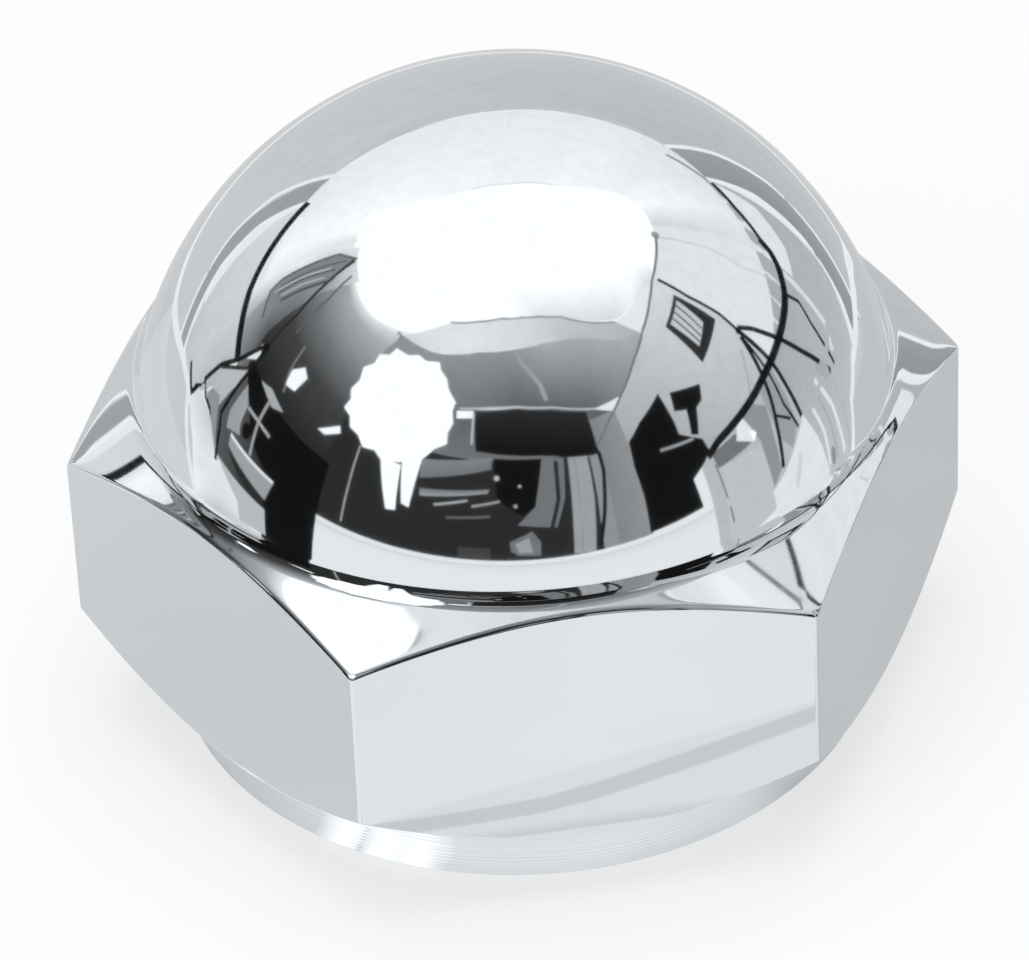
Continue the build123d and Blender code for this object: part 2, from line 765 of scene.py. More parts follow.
class NodeTree:
    """Short ways to add and link shader nodes."""

    def __init__(self, tree: bpy.types.NodeTree) -> None:
        """Keeps the tree that the nodes go into."""
        self.tree = tree

    def add(self, kind: str, **settings: object) -> bpy.types.Node:
        """Adds a node.

        Args:
            kind: the node's type.
            settings: its properties by name.
        Returns:
            The node.
        """
        node = self.tree.nodes.new(kind)
        for name, value in settings.items():
            setattr(node, name, value)
        return node

    def link(self, source: bpy.types.NodeSocket, target: bpy.types.NodeSocket) -> None:
        """Links two sockets."""
        self.tree.links.new(source, target)

    def math(self, operation: str, *inputs: Value, clamp: bool = False) -> bpy.types.NodeSocket:
        """Adds a Math node.

        Args:
            operation: the node's operation.
            inputs: numbers or sockets, in order.
            clamp: whether the result is held between 0 and 1.
        Returns:
            The result's socket.
        """
        node = self.add("ShaderNodeMath", operation=operation, use_clamp=clamp)
        for socket, value in zip(node.inputs, inputs):
            if isinstance(value, (int, float)):
                socket.default_value = value
            else:
                self.link(value, socket)
        return node.outputs[0]

    def noise(
        self, place: bpy.types.NodeSocket, scale: Value, detail: float, roughness: float = 0.5
    ) -> bpy.types.NodeSocket:
        """Adds a Noise Texture.

        Args:
            place: where it is read.
            scale: a number or a socket.
            detail: how many finer layers it has.
            roughness: how strong the finer layers are.
        Returns:
            The socket of its value, which is NOISE_MIDDLE on average.
        """
        node = self.add("ShaderNodeTexNoise")
        node.inputs["Detail"].default_value = detail
        node.inputs["Roughness"].default_value = roughness
        self.link(place, node.inputs["Vector"])
        if isinstance(scale, (int, float)):
            node.inputs["Scale"].default_value = scale
        else:
            self.link(scale, node.inputs["Scale"])
        return node.outputs["Fac"]

    def object_place(self) -> tuple[bpy.types.NodeSocket, bpy.types.NodeSocketCollection]:
        """Adds the place in Object coordinates.

        Returns:
            Its socket, and the sockets of its X, Y and Z.
        """
        place = self.add("ShaderNodeTexCoord").outputs["Object"]
        parts = self.add("ShaderNodeSeparateXYZ")
        self.link(place, parts.inputs["Vector"])
        return place, parts.outputs

    def bump(self, relief: bpy.types.NodeSocket, shader: bpy.types.Node) -> None:
        """Turns a relief in metres into the shader's normal.

        Args:
            relief: the relief's socket.
            shader: the shader that takes the normal.
        """
        bump = self.add("ShaderNodeBump")
        bump.inputs["Strength"].default_value = 1.0
        bump.inputs["Distance"].default_value = 1.0
        self.link(relief, bump.inputs["Height"])
        self.link(bump.outputs["Normal"], shader.inputs["Normal"])

    def seen(self) -> bpy.types.NodeSocket:
        """Adds a mask of the rays from the camera, from mirrors and through glass.

        Returns:
            Its socket, 1 for these rays and 0 for the others.
        """
        rays = self.add("ShaderNodeLightPath")
        seen = self.math("MAXIMUM", rays.outputs["Is Camera Ray"], rays.outputs["Is Glossy Ray"])
        return self.math("MAXIMUM", seen, rays.outputs["Is Transmission Ray"])


def new_metal(name: str) -> tuple[bpy.types.Material, NodeTree, bpy.types.Node]:
    """Starts a metal.

    Args:
        name: the material's name.
    Returns:
        The material, its helper, and its shader.
    """
    material = bpy.data.materials.new(name)
    material.use_nodes = True
    shader = material.node_tree.nodes["Principled BSDF"]
    shader.inputs["Metallic"].default_value = 1.0
    return material, NodeTree(material.node_tree), shader


def new_glow(name: str) -> tuple[bpy.types.Material, NodeTree]:
    """Starts an empty material that isn't used as a lamp.

    Args:
        name: the material's name.
    Returns:
        The material and its helper.
    """
    material = bpy.data.materials.new(name)
    material.use_nodes = True
    material.node_tree.nodes.clear()
    material.cycles.emission_sampling = "NONE"
    return material, NodeTree(material.node_tree)


def new_group(
    name: str, inputs: dict[str, tuple[str, float]], outputs: Sequence[str]
) -> tuple[bpy.types.NodeTree, NodeTree, bpy.types.Node, bpy.types.Node]:
    """Starts a shader node group.

    Args:
        name: the group's name.
        inputs: socket kinds and default values by name.
        outputs: names of the value outputs.
    Returns:
        The group, its helper, and its input and output nodes.
    """
    group = bpy.data.node_groups.new(name, "ShaderNodeTree")
    for label, (kind, default) in inputs.items():
        socket = group.interface.new_socket(label, in_out="INPUT", socket_type=kind)
        if kind == "NodeSocketFloat":
            socket.default_value = default
    for label in outputs:
        group.interface.new_socket(label, in_out="OUTPUT", socket_type="NodeSocketFloat")
    tree = NodeTree(group)
    return group, tree, tree.add("NodeGroupInput"), tree.add("NodeGroupOutput")


def polish_group() -> bpy.types.NodeTree:
    """Hand polishing: long faint waves in the surface, and a haze of hairlines in the roughness.

    Returns:
        A group with the outputs Height, which is about zero on average, and Haze from 0 to 1.
    """
    inputs = {
        "Place": ("NodeSocketVector", 0.0),
        "Wave Scale": ("NodeSocketFloat", 260.0),
        "Haze Scale": ("NodeSocketFloat", 900.0),
    }
    wave_detail = 1.0
    haze_detail, haze_roughness = 4.0, 0.6
    hairline_stretch = (1.0, 1.0, 6.0)
    group, tree, given, out = new_group("hand_polish", inputs, ("Height", "Haze"))
    place = given.outputs["Place"]
    waves = tree.noise(place, given.outputs["Wave Scale"], wave_detail)
    tree.link(tree.math("SUBTRACT", waves, NOISE_MIDDLE), out.inputs["Height"])
    stretch = tree.add("ShaderNodeMapping")
    stretch.inputs["Scale"].default_value = hairline_stretch
    tree.link(place, stretch.inputs["Vector"])
    scale = given.outputs["Haze Scale"]
    haze = tree.noise(stretch.outputs["Vector"], scale, haze_detail, haze_roughness)
    tree.link(haze, out.inputs["Haze"])
    return group


def turning_group() -> bpy.types.NodeTree:
    """Fine turned lines: a ripple of even pitch along a coordinate, of uneven depth.

    Returns:
        A group with the output Height, from about -1 to 1.
    """
    inputs = {
        "Along": ("NodeSocketFloat", 0.0),
        "Pitch": ("NodeSocketFloat", 0.16 * MM),
    }
    depth_scale, depth_detail, depth_gain, depth_offset = 0.7, 2.0, 1.6, -0.2
    wander_scale, wander_detail, wander_gain, wander_offset = 1.9, 1.0, 1.0, -0.5
    group, tree, given, out = new_group("turned_lines", inputs, ("Height",))
    turns = tree.math("DIVIDE", given.outputs["Along"], given.outputs["Pitch"])
    ripple = tree.math("SINE", tree.math("MULTIPLY", turns, FULL_TURN))
    line = tree.add("ShaderNodeCombineXYZ")
    tree.link(turns, line.inputs["X"])
    uneven = tree.noise(line.outputs["Vector"], depth_scale, depth_detail)
    depth = tree.math("MULTIPLY_ADD", uneven, depth_gain, depth_offset)
    slow = tree.noise(line.outputs["Vector"], wander_scale, wander_detail)
    wander = tree.math("MULTIPLY_ADD", slow, wander_gain, wander_offset)
    tree.link(tree.math("MULTIPLY_ADD", ripple, depth, wander), out.inputs["Height"])
    return group


def pits_group() -> bpy.types.NodeTree:
    """Rare pinpoint pits in the plating: the middles of a few cells of a Voronoi pattern.

    Returns:
        A group with the output Mask, which is 1 in a pit and 0 elsewhere.
    """
    inputs = {
        "Place": ("NodeSocketVector", 0.0),
        "Cell Scale": ("NodeSocketFloat", 420.0),
        "Share": ("NodeSocketFloat", 0.05),
        "Radius": ("NodeSocketFloat", 0.035),
    }
    group, tree, given, out = new_group("plating_pits", inputs, ("Mask",))
    cells = tree.add("ShaderNodeTexVoronoi")
    tree.link(given.outputs["Place"], cells.inputs["Vector"])
    tree.link(given.outputs["Cell Scale"], cells.inputs["Scale"])
    near = tree.math("LESS_THAN", cells.outputs["Distance"], given.outputs["Radius"])
    pick = tree.add("ShaderNodeSeparateColor")
    tree.link(cells.outputs["Color"], pick.inputs["Color"])
    chosen = tree.math("LESS_THAN", pick.outputs["Red"], given.outputs["Share"])
    tree.link(tree.math("MULTIPLY", near, chosen), out.inputs["Mask"])
    return group


@dataclass(frozen=True)
class ChromeFinish:
    """Bright chrome plate over polished steel, with the collar left as it was turned."""

    sizes: NutSizes
    groups: dict[str, bpy.types.NodeTree]
    name: str = "chrome_plate"
    colour: tuple[float, float, float] = (0.765, 0.806, 0.842)
    roughness: float = 0.03
    haze_roughness: float = 0.03
    collar_roughness: float = 0.08
    wave_depth: float = 0.0012 * MM
    turned_depth: float = 0.008 * MM
    pit_depth: float = 0.02 * MM
    face_height: float = 0.02 * MM

    def build(self) -> bpy.types.Material:
        """Makes the material.

        Returns:
            The material.
        """
        material, tree, shader = new_metal(self.name)
        shader.inputs["Base Color"].default_value = (*self.colour, 1.0)
        place, parts = tree.object_place()
        height = parts["Z"]
        on_collar = tree.math("LESS_THAN", height, self.sizes.collar_height)
        polish = tree.add("ShaderNodeGroup", node_tree=self.groups["polish"])
        tree.link(place, polish.inputs["Place"])
        turned = tree.add("ShaderNodeGroup", node_tree=self.groups["turning"])
        squares = [tree.math("POWER", parts[axis], 2.0) for axis in "XY"]
        radius = tree.math("SQRT", tree.math("ADD", *squares))
        on_face = tree.math("LESS_THAN", height, self.face_height)
        along = tree.math("MULTIPLY_ADD", on_face, tree.math("SUBTRACT", radius, height), height)
        tree.link(along, turned.inputs["Along"])
        pits = tree.add("ShaderNodeGroup", node_tree=self.groups["pits"])
        tree.link(place, pits.inputs["Place"])
        waves = tree.math("MULTIPLY", polish.outputs["Height"], self.wave_depth)
        lines = tree.math("MULTIPLY", turned.outputs["Height"], self.turned_depth)
        relief = tree.math("MULTIPLY_ADD", lines, on_collar, waves)
        relief = tree.math("MULTIPLY_ADD", pits.outputs["Mask"], -self.pit_depth, relief)
        tree.bump(relief, shader)
        haze = tree.math("MULTIPLY_ADD", polish.outputs["Haze"], self.haze_roughness, self.roughness)
        extra = self.collar_roughness - self.roughness
        tree.link(tree.math("MULTIPLY_ADD", on_collar, extra, haze), shader.inputs["Roughness"])
        return material


@dataclass(frozen=True)
class BoreFinish:
    """Tapped steel inside the hole, where the plating is thin and dull."""

    groups: dict[str, bpy.types.NodeTree]
    name: str = "tapped_steel"
    colour: tuple[float, float, float] = (0.50, 0.505, 0.51)
    dark_colour: tuple[float, float, float] = (0.30, 0.30, 0.30)
    roughness: float = 0.3
    haze_roughness: float = 0.2
    line_pitch: float = 0.05 * MM
    line_depth: float = 0.0008 * MM

    def build(self) -> bpy.types.Material:
        """Makes the material.

        Returns:
            The material.
        """
        material, tree, shader = new_metal(self.name)
        place, parts = tree.object_place()
        polish = tree.add("ShaderNodeGroup", node_tree=self.groups["polish"])
        tree.link(place, polish.inputs["Place"])
        mix = tree.add("ShaderNodeMix", data_type="RGBA")
        mix.inputs["A"].default_value = (*self.dark_colour, 1.0)
        mix.inputs["B"].default_value = (*self.colour, 1.0)
        tree.link(polish.outputs["Haze"], mix.inputs["Factor"])
        tree.link(mix.outputs["Result"], shader.inputs["Base Color"])
        turned = tree.add("ShaderNodeGroup", node_tree=self.groups["turning"])
        turned.inputs["Pitch"].default_value = self.line_pitch
        tree.link(parts["Z"], turned.inputs["Along"])
        tree.bump(tree.math("MULTIPLY", turned.outputs["Height"], self.line_depth), shader)
        rough = tree.math("MULTIPLY_ADD", polish.outputs["Haze"], self.haze_roughness, self.roughness)
        tree.link(rough, shader.inputs["Roughness"])
        return material


@dataclass(frozen=True)
class CapNut:
    """The nut itself, one closed mesh that stands for the CAD node."""

    sizes: NutSizes
    groups: dict[str, bpy.types.NodeTree]
    name: str = "polished_shell"
    ring_gap: float = 0.4 * MM

    def mesh(self) -> bpy.types.Mesh:
        """Joins the bore's grid, the outer grid and the two poles into one closed mesh.

        Returns:
            The mesh, with material 1 from the drill point to the edge of the mouth and 0 elsewhere.
        """
        bore = BoreForm(self.sizes)
        outer = OuterForm(self.sizes, ring_start=bore.ring_end + self.ring_gap)
        inside, outside = bore.grid(), outer.grid()
        tip = np.array([[0.0, 0.0, bore.tip_height]])
        top = np.array([[0.0, 0.0, self.sizes.overall_height]])
        down, up = np.array([[0.0, 0.0, -1.0]]), np.array([[0.0, 0.0, 1.0]])
        points = np.vstack([tip, inside.points.reshape(-1, 3), outside.points.reshape(-1, 3), top])
        normals = np.vstack([down, inside.normals.reshape(-1, 3), outside.normals.reshape(-1, 3), up])
        inside_first, outside_first = 1, 1 + inside.rings * inside.columns
        inside_last_ring = outside_first - inside.columns + np.arange(inside.columns)
        outside_ring = outside_first + np.arange(outside.columns)
        outside_last_ring = outside_ring + (outside.rings - 1) * outside.columns
        bore_faces = [
            fan(0, inside_first + np.arange(inside.columns), pole_first=True),
            ring_quads(inside_first, inside.rings, inside.columns),
        ]
        outer_faces = [
            bridge(
                inside_last_ring,
                outside_ring,
                np.linspace(0, FULL_TURN, inside.columns, endpoint=False),
                outer.angles(),
            ),
            ring_quads(outside_first, outside.rings, outside.columns),
            fan(points.shape[0] - 1, outside_last_ring, pole_first=False),
        ]
        mesh = bpy.data.meshes.new(self.name)
        faces = [f for block in bore_faces + outer_faces for f in block.tolist()]
        mesh.from_pydata(points.tolist(), [], faces)
        in_bore = sum(len(block) for block in bore_faces) - bore.ring_rows * inside.columns
        slots = np.zeros(len(faces), np.int32)
        slots[:in_bore] = 1
        mesh.polygons.foreach_set("material_index", slots)
        mesh.polygons.foreach_set("use_smooth", np.ones(len(faces), bool))
        mesh.update()
        mesh.normals_split_custom_set_from_vertices(normals.tolist())
        return mesh

    def build(self) -> bpy.types.Object:
        """Makes the nut, dresses it and puts it in the frame.

        Returns:
            The nut's object.
        """
        mesh = self.mesh()
        mesh.materials.append(ChromeFinish(self.sizes, self.groups).build())
        mesh.materials.append(BoreFinish(self.groups).build())
        nut = bpy.data.objects.new(self.name, mesh)
        bpy.context.scene.collection.objects.link(nut)
        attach(nut, BODY)
        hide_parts(NODE)
        mesh.calc_loop_triangles()
        triangles = len(mesh.loop_triangles)
        log.info("%s: %d points, %d triangles", self.name, len(mesh.vertices), triangles)
        return nut


# Camera


@dataclass(frozen=True)
class ProductCamera:
    """The camera: where it looks from, how it is rolled and how close it is."""

    azimuth: float = math.radians(-8.1)
    elevation: float = math.radians(37.918)
    roll: float = math.radians(-2.629)
    distance: float = 259.86 * MM
    aim_height: float = 12.0 * MM
    aim_right: float = -0.055 * MM
    aim_up: float = -2.725 * MM
    lens: float = 237.99
    sensor: float = 36.0
    nearest: float = 10 * MM
    farthest: float = 5.0

    def axes(self) -> np.ndarray:
        """The camera's right, up and backward directions, as rows.

        Backwards is (sine of azimuth times cosine of elevation, minus cosine of azimuth times
        cosine of elevation, sine of elevation). Right and up are level and upright before the
        roll turns them about it.

        Returns:
            The three directions.
        """
        azimuth, elevation, roll = self.azimuth, self.elevation, self.roll
        back = np.array(
            [
                math.sin(azimuth) * math.cos(elevation),
                -math.cos(azimuth) * math.cos(elevation),
                math.sin(elevation),
            ]
        )
        level = np.array([math.cos(azimuth), math.sin(azimuth), 0.0])
        upright = np.cross(back, level)
        right = math.cos(roll) * level + math.sin(roll) * upright
        up = -math.sin(roll) * level + math.cos(roll) * upright
        return np.stack([right, up, back])

    def place(self) -> np.ndarray:
        """Where the camera stands.

        Returns:
            Its place.
        """
        right, up, back = self.axes()
        aim = np.array([0.0, 0.0, self.aim_height])
        return aim + self.aim_right * right + self.aim_up * up + self.distance * back

    def build(self) -> bpy.types.Object:
        """Makes the camera and gives it to the scene.

        Returns:
            The camera's object.
        """
        data = bpy.data.cameras.new("product_camera")
        data.lens, data.sensor_width = self.lens, self.sensor
        data.clip_start, data.clip_end = self.nearest, self.farthest
        camera = bpy.data.objects.new("product_camera", data)
        matrix = np.eye(4)
        matrix[:3, :3] = self.axes().T
        matrix[:3, 3] = self.place()
        camera.matrix_world = Matrix(matrix.tolist())
        bpy.context.scene.collection.objects.link(camera)
        bpy.context.scene.camera = camera
        return camera


# Glowing cards that only the chrome mirrors: a painted reflection of a studio


class Tone(Enum):
    """Brightness of a glowing card, where 1 is white: painted light and shade that the chrome mirrors."""

    BLACK = 0.008
    COAL = 0.03
    CHARCOAL = 0.07
    SOOT = 0.11
    DARK = 0.15
    SHADE = 0.22
    SLATE = 0.29
    IRON = 0.36
    MID = 0.43
    GREY = 0.51
    STONE = 0.56
    DOVE = 0.61
    SILVER = 0.665
    CLOUD = 0.72
    PALE = 0.80
    CREAM = 0.885
    PAPER = 0.95
    PLAIN = 1.0
    WHITE = 1.06
    LIGHT = 1.11
    BRIGHT = 1.16
    SHINE = 1.22
    GLOW = 1.3


Path = Sequence[Point]
Tones = Tone | Sequence[Tone]


def along(values: Sequence, count: int) -> np.ndarray:
    """Points evenly spaced along a path, counted by its own points.

    Args:
        values: the path's points, or one number for each of them.
        count: how many to give.
    Returns:
        An array of count rows.
    """
    own = np.array(values, float).reshape(len(values), -1)
    where = np.linspace(0, len(own) - 1, count)
    return np.stack([np.interp(where, np.arange(len(own)), column) for column in own.T], axis=1)


@dataclass(frozen=True, kw_only=True)
class Card:
    """A studio surface that glows for mirrors only: part of a painted reflection.

    Most stand on a sphere round the nut. Their points are degrees: azimuth right of the camera,
    and elevation. The others lie on the floor, and their points are millimetres along X and Y.
    Higher layers hide lower ones.
    """

    layer: int
    on_floor: bool = False

    def surface(self) -> tuple[np.ndarray, np.ndarray, np.ndarray]:
        """Coordinates of the points, their brightness, and the faces between them."""
        raise NotImplementedError


@dataclass(frozen=True, kw_only=True)
class Sheet(Card):
    """A card stretched between two edges that run the same way."""

    edge: Path
    other_edge: Path
    tone: Tones
    other_tone: Tones
    steps: int = 28
    rows: int = 9

    @staticmethod
    def levels(tones: Tones, count: int) -> np.ndarray:
        """Brightness along an edge, from one tone or from several evenly spaced ones."""
        named = [tones] if isinstance(tones, Tone) else tones
        return along([tone.value for tone in named], count)[:, 0]

    def surface(self) -> tuple[np.ndarray, np.ndarray, np.ndarray]:
        """The grid between the edges: one edge times the remaining share plus the other's share.

        Returns:
            Coordinates, brightness, and point numbers of the faces.
        """
        share = shares(self.rows, last=True)
        columns = self.steps + 1
        first, final = along(self.edge, columns), along(self.other_edge, columns)
        places = (1 - share[..., None]) * first + share[..., None] * final
        start, end = self.levels(self.tone, columns), self.levels(self.other_tone, columns)
        brightness = (1 - share) * start + share * end
        row, column = np.meshgrid(np.arange(self.rows - 1), np.arange(self.steps), indexing="ij")
        corner = row * columns + column
        faces = np.stack([corner, corner + 1, corner + columns + 1, corner + columns], axis=-1)
        return places.reshape(-1, 2), brightness.ravel(), faces.reshape(-1, 4)


@dataclass(frozen=True, kw_only=True)
class Patch(Card):
    """A small card of one tone with an outline of any form."""

    outline: Path
    tone: Tone
    steps: int = 3

    def surface(self) -> tuple[np.ndarray, np.ndarray, np.ndarray]:
        """One face whose sides are divided into steps.

        Returns:
            Coordinates, brightness, and point numbers of the face.
        """
        closed = [*self.outline, self.outline[0]]
        places = along(closed, len(self.outline) * self.steps + 1)[:-1]
        return places, np.full(len(places), self.tone.value), np.arange(len(places))[None, :]


def flag(
    edge: Path, other: Path, tone: Tones, other_tone: Tones | None = None, layer: int = 2
) -> Card:
    """A sheet between two edges, of one tone along both unless a second one is given."""
    return Sheet(edge=edge, other_edge=other, tone=tone, other_tone=other_tone or tone, layer=layer)


def board(
    left: float,
    right: float,
    low: float,
    high: float,
    tone: Tone,
    right_tone: Tone | None = None,
    layer: int = 2,
) -> Card:
    """An upright sheet between two azimuths and two elevations."""
    return flag([(left, low), (left, high)], [(right, low), (right, high)], tone, right_tone, layer)


def patch(outline: Path, tone: Tone, layer: int = 4) -> Card:
    """A card with an outline of any form."""
    return Patch(outline=outline, tone=tone, layer=layer)


def rod(path: Path, width: float, tone: Tone, layer: int = 5) -> Card:
    """A narrow strip along a path: its edges lie half the width to each side.

    Args:
        path: azimuths and elevations in degrees.
        width: width in degrees.
        tone: its brightness.
        layer: higher layers hide lower ones.
    Returns:
        The card.
    """
    points = np.array(path, float)
    shrink = np.cos(np.radians(points[:, 1]))
    flat = np.stack([points[:, 0] * shrink.mean(), points[:, 1]], axis=1)
    heading = np.gradient(flat, axis=0)
    heading /= np.linalg.norm(heading, axis=1, keepdims=True)
    aside = np.stack([-heading[:, 1] / shrink, heading[:, 0]], axis=1) * width / 2
    return flag((points + aside).tolist(), (points - aside).tolist(), tone, layer=layer)


def disc(
    centre: Point, radius: float, tone: Tone, layer: int = 5, tall: float = 1.0, sides: int = 16
) -> Card:
    """A round card, or an oval one that is tall times as high as it is wide.

    Args:
        centre: its middle in degrees.
        radius: its radius in degrees.
        tone: its brightness.
        layer: higher layers hide lower ones.
        tall: its height over its width.
        sides: how many sides its outline has.
    Returns:
        The card.
    """
    turn = np.linspace(0, FULL_TURN, sides, endpoint=False)
    across = centre[0] + radius * np.cos(turn) / math.cos(math.radians(centre[1]))
    up = centre[1] + radius * tall * np.sin(turn)
    return patch(np.stack([across, up], axis=1).tolist(), tone, layer)


def ground(
    edge: Path, other: Path, tone: Tones, other_tone: Tones | None = None, layer: int = 1
) -> Card:
    """A sheet that lies on the floor, with its points in millimetres."""
    return replace(flag(edge, other, tone, other_tone, layer), on_floor=True)


def sweep_cards() -> list[Card]:
    """Painted reflection of the backdrop behind the nut: light edges, darker sides, a grey sheet below.

    Returns:
        The cards.
    """
    foot = [
        (136, -16.5), (143, -19.3), (153.5, -22), (166, -20), (180, -18.5), (207, -17.8), (218, -15),
        (230, -10),
    ]
    middle = [(146, 0), (220, 2)]
    top = [(149.5, 24.5), (171, 25), (193, 26), (215, 26.5)]
    arc = [(150, 25), (158, 27.5), (165, 29), (180, 31), (197, 31), (205, 29.5), (212, 27.5), (215, 26.5)]
    right_edge = [(136, -16.5), (146, 0), (148.5, 12), (149.5, 24.5)]
    left_edge = [(230, -10), (220, 2), (216.5, 11), (215, 26.5)]
    right_line = [(128, -12), (131, -9), (136, 0), (139, 10), (139.5, 23)]
    left_line = [(237, -8), (234, -7.5), (226.5, 3), (223.5, 12), (222.5, 24.5)]
    right_border = [
        (107, -24), (111, -19.2), (114.5, -14.1), (122, -12.2), (130, -13.6), (137, -15), (146, -18),
        (153.5, -22),
    ]
    border = [*right_border, *foot[3:], (235.5, -8), (242.7, -7.2)]
    left_border = [(242.7, -7.2), (248, -12.3), (252, -15.8), (257, -20)]
    near = [(106, -50), (257, -50)]
    return [
        flag([*border, *left_border[1:]], near, Tone.CLOUD, layer=1),
        rod(border, 1.6, Tone.PLAIN),
        rod(right_border, 1.8, Tone.PLAIN, layer=6),
        rod(left_border, 1.8, Tone.PLAIN),
        flag(foot, middle, [Tone.DOVE, Tone.SILVER, Tone.CLOUD]),
        flag(middle, top, [Tone.DOVE, Tone.SILVER, Tone.CLOUD]),
        flag(top, arc, Tone.SILVER),
        rod(arc, 0.7, Tone.WHITE),
        *[rod(path, 1.1, Tone.WHITE) for path in (right_edge, left_edge, right_line, left_line)],
        flag(right_line, right_edge, Tone.IRON, Tone.MID),
        flag(left_line, left_edge, Tone.MID),
    ]


def bright_cards() -> list[Card]:
    """Painted reflection of the white reflector above the backdrop, lighter towards the softbox and sides.

    Returns:
        The cards.
    """
    low = [
        (242, 21), (236, 22.5), (229, 24), (222, 25), (215, 26.5), (207, 29), (197, 31), (180, 31),
        (165, 29), (156, 27), (149, 24.5), (142, 24), (137, 22), (130, 18), (121, 13.5),
    ]
    high = [
        (241, 49), (236, 47), (229.5, 46), (223, 53), (217, 58.5), (208, 61.5), (197, 63), (178, 63.3),
        (165, 62), (156, 61), (149, 58.5), (142, 55), (136, 51), (129.5, 48.8), (120, 49.2),
    ]
    low_tones = [Tone.LIGHT, Tone.BRIGHT, Tone.WHITE] + 7 * [Tone.PLAIN] + 5 * [Tone.PAPER]
    high_tones = [Tone.CREAM] + 4 * [Tone.SHINE] + 2 * [Tone.BRIGHT] + 2 * [Tone.LIGHT]
    high_tones += [Tone.BRIGHT, Tone.BRIGHT, Tone.LIGHT, Tone.BRIGHT, Tone.SHINE, Tone.PALE]
    return [
        flag(low, high, low_tones, high_tones, layer=1),
        rod([(157, 61), (165, 62), (178, 63.3), (197, 63)], 0.5, Tone.CREAM),
        rod([(178, 33), (179, 41)], 0.4, Tone.PAPER),
    ]


def left_cards() -> list[Card]:
    """Painted reflection of the pale reflector on the left, with flags, patches and dark rods before it.

    Returns:
        The cards.
    """
    upper_edge = [(-137.5, 25.5), (-129, 21.5), (-119, 16.5), (-110.7, 13.5), (-105.3, 11.2)]
    lower_edge = [(-126, -8), (-120, -7.5), (-114, -6.6), (-107, 2)]
    slatted = [
        (-108, 20.9), (-114, 23.5), (-115.2, 27), (-115.2, 43.5), (-111, 49), (-105.8, 41.9), (-108, 33),
        (-109, 26.8),
    ]
    fold = [(-112, 14), (-113, 23), (-114, 33), (-113, 41), (-112, 49)]
    left_rod = [(-99.4, 21.7), (-104.3, 11.7), (-108.8, 5.6), (-112, -1.6), (-114.9, -6.6)]
    right_rod = [(-98.9, 21.6), (-98.8, 13.6), (-100.5, 0.8), (-98.8, -2.2), (-97.3, -7.9)]
    return [
        flag(
            upper_edge,
            lower_edge,
            [Tone.CREAM, Tone.PALE, Tone.SILVER],
            [Tone.SILVER, Tone.CLOUD, Tone.GREY],
        ),
        rod(upper_edge, 2.3, Tone.BLACK, layer=6),
        flag(
            [(-118, 16), (-118, 25), (-118, 33), (-118, 41), (-116, 49)],
            fold,
            [Tone.PAPER, Tone.WHITE, Tone.LIGHT, Tone.PAPER, Tone.PAPER],
            [Tone.GREY, Tone.DOVE, Tone.PALE, Tone.CLOUD, Tone.CREAM],
            layer=3,
        ),
        flag(
            fold,
            [(-99, 9), (-103, 22), (-103, 31), (-103, 39), (-100, 50)],
            [Tone.MID, Tone.MID, Tone.IRON, Tone.MID, Tone.CREAM],
            [Tone.DARK, Tone.SOOT, Tone.SHADE, Tone.IRON, Tone.CREAM],
            layer=3,
        ),
        patch(slatted, Tone.SLATE),
        rod(slatted[:5], 0.7, Tone.DARK),
        rod([(-109, 26.8), (-108, 33), (-105.8, 41.9), (-110.9, 48)], 0.8, Tone.SOOT),
        rod([(-113.2, 27), (-112.8, 36), (-111.5, 46)], 0.5, Tone.DARK),
        rod([(-111.8, 26), (-111.2, 35), (-109.5, 43)], 0.5, Tone.SOOT),
        rod([(-112.6, 25), (-112, 34), (-110.5, 42)], 0.4, Tone.SILVER, layer=6),
        rod([(-110.3, 27), (-109.6, 34), (-108, 40)], 0.4, Tone.DOVE, layer=6),
        rod([(-99.5, 22), (-100.8, 31.6), (-105, 40), (-110.4, 48.5)], 0.9, Tone.COAL),
        rod([(-95.5, 30), (-99, 41), (-104, 48)], 0.7, Tone.DARK),
        patch([(-102.3, 14), (-101.2, 20), (-98.5, 17.5)], Tone.PAPER, layer=5),
        patch([(-108.4, 5.5), (-99.4, 13.9), (-98.7, 12.2), (-103, -0.6), (-107.1, -0.5)], Tone.DOVE),
        *[rod(path, 1.1, Tone.BLACK, layer=6) for path in (left_rod, right_rod)],
        rod([(-99.4, 13.9), (-108.4, 5.5)], 0.8, Tone.COAL),
        patch(
            [(-107.5, 1), (-103.5, 2.5), (-97.5, -7.5), (-100.5, -5), (-105.3, -1.7), (-108.9, -2.1)],
            Tone.IRON,
            layer=5,
        ),
        rod(
            [(-114.5, -5.1), (-110.9, -1), (-108.9, -2.1), (-105.3, -2.2), (-99.6, -3.6)],
            0.9,
            Tone.BLACK,
            layer=6,
        ),
        rod([(-120.4, -4.9), (-114.5, -6.8)], 1.0, Tone.BLACK),
        flag(
            [(-113.2, -3.6), (-102.7, -2.7), (-96.8, -6.7), (-86.5, -10.5), (-85.2, -14)],
            [(-114.3, -8.1), (-108.7, -11.2), (-104, -18.7), (-96.3, -17.8), (-85.9, -14.6)],
            [Tone.CREAM, Tone.CLOUD, Tone.PAPER, Tone.PLAIN, Tone.PAPER],
            [Tone.PAPER, Tone.WHITE, Tone.WHITE, Tone.SILVER, Tone.CLOUD],
            layer=4,
        ),
        flag(
            [(-114.3, -8.1), (-108.7, -11.2), (-103, -18.7), (-85.9, -14.6), (-62, -12)],
            [(-112, -50), (-62, -50)],
            Tone.CLOUD,
            Tone.SILVER,
            layer=1,
        ),
        patch(
            [(-97, -6.4), (-76.6, -6.9), (-75.5, -12.9), (-85.2, -14.2), (-86.5, -10.5)],
            Tone.DOVE,
            layer=5,
        ),
    ]


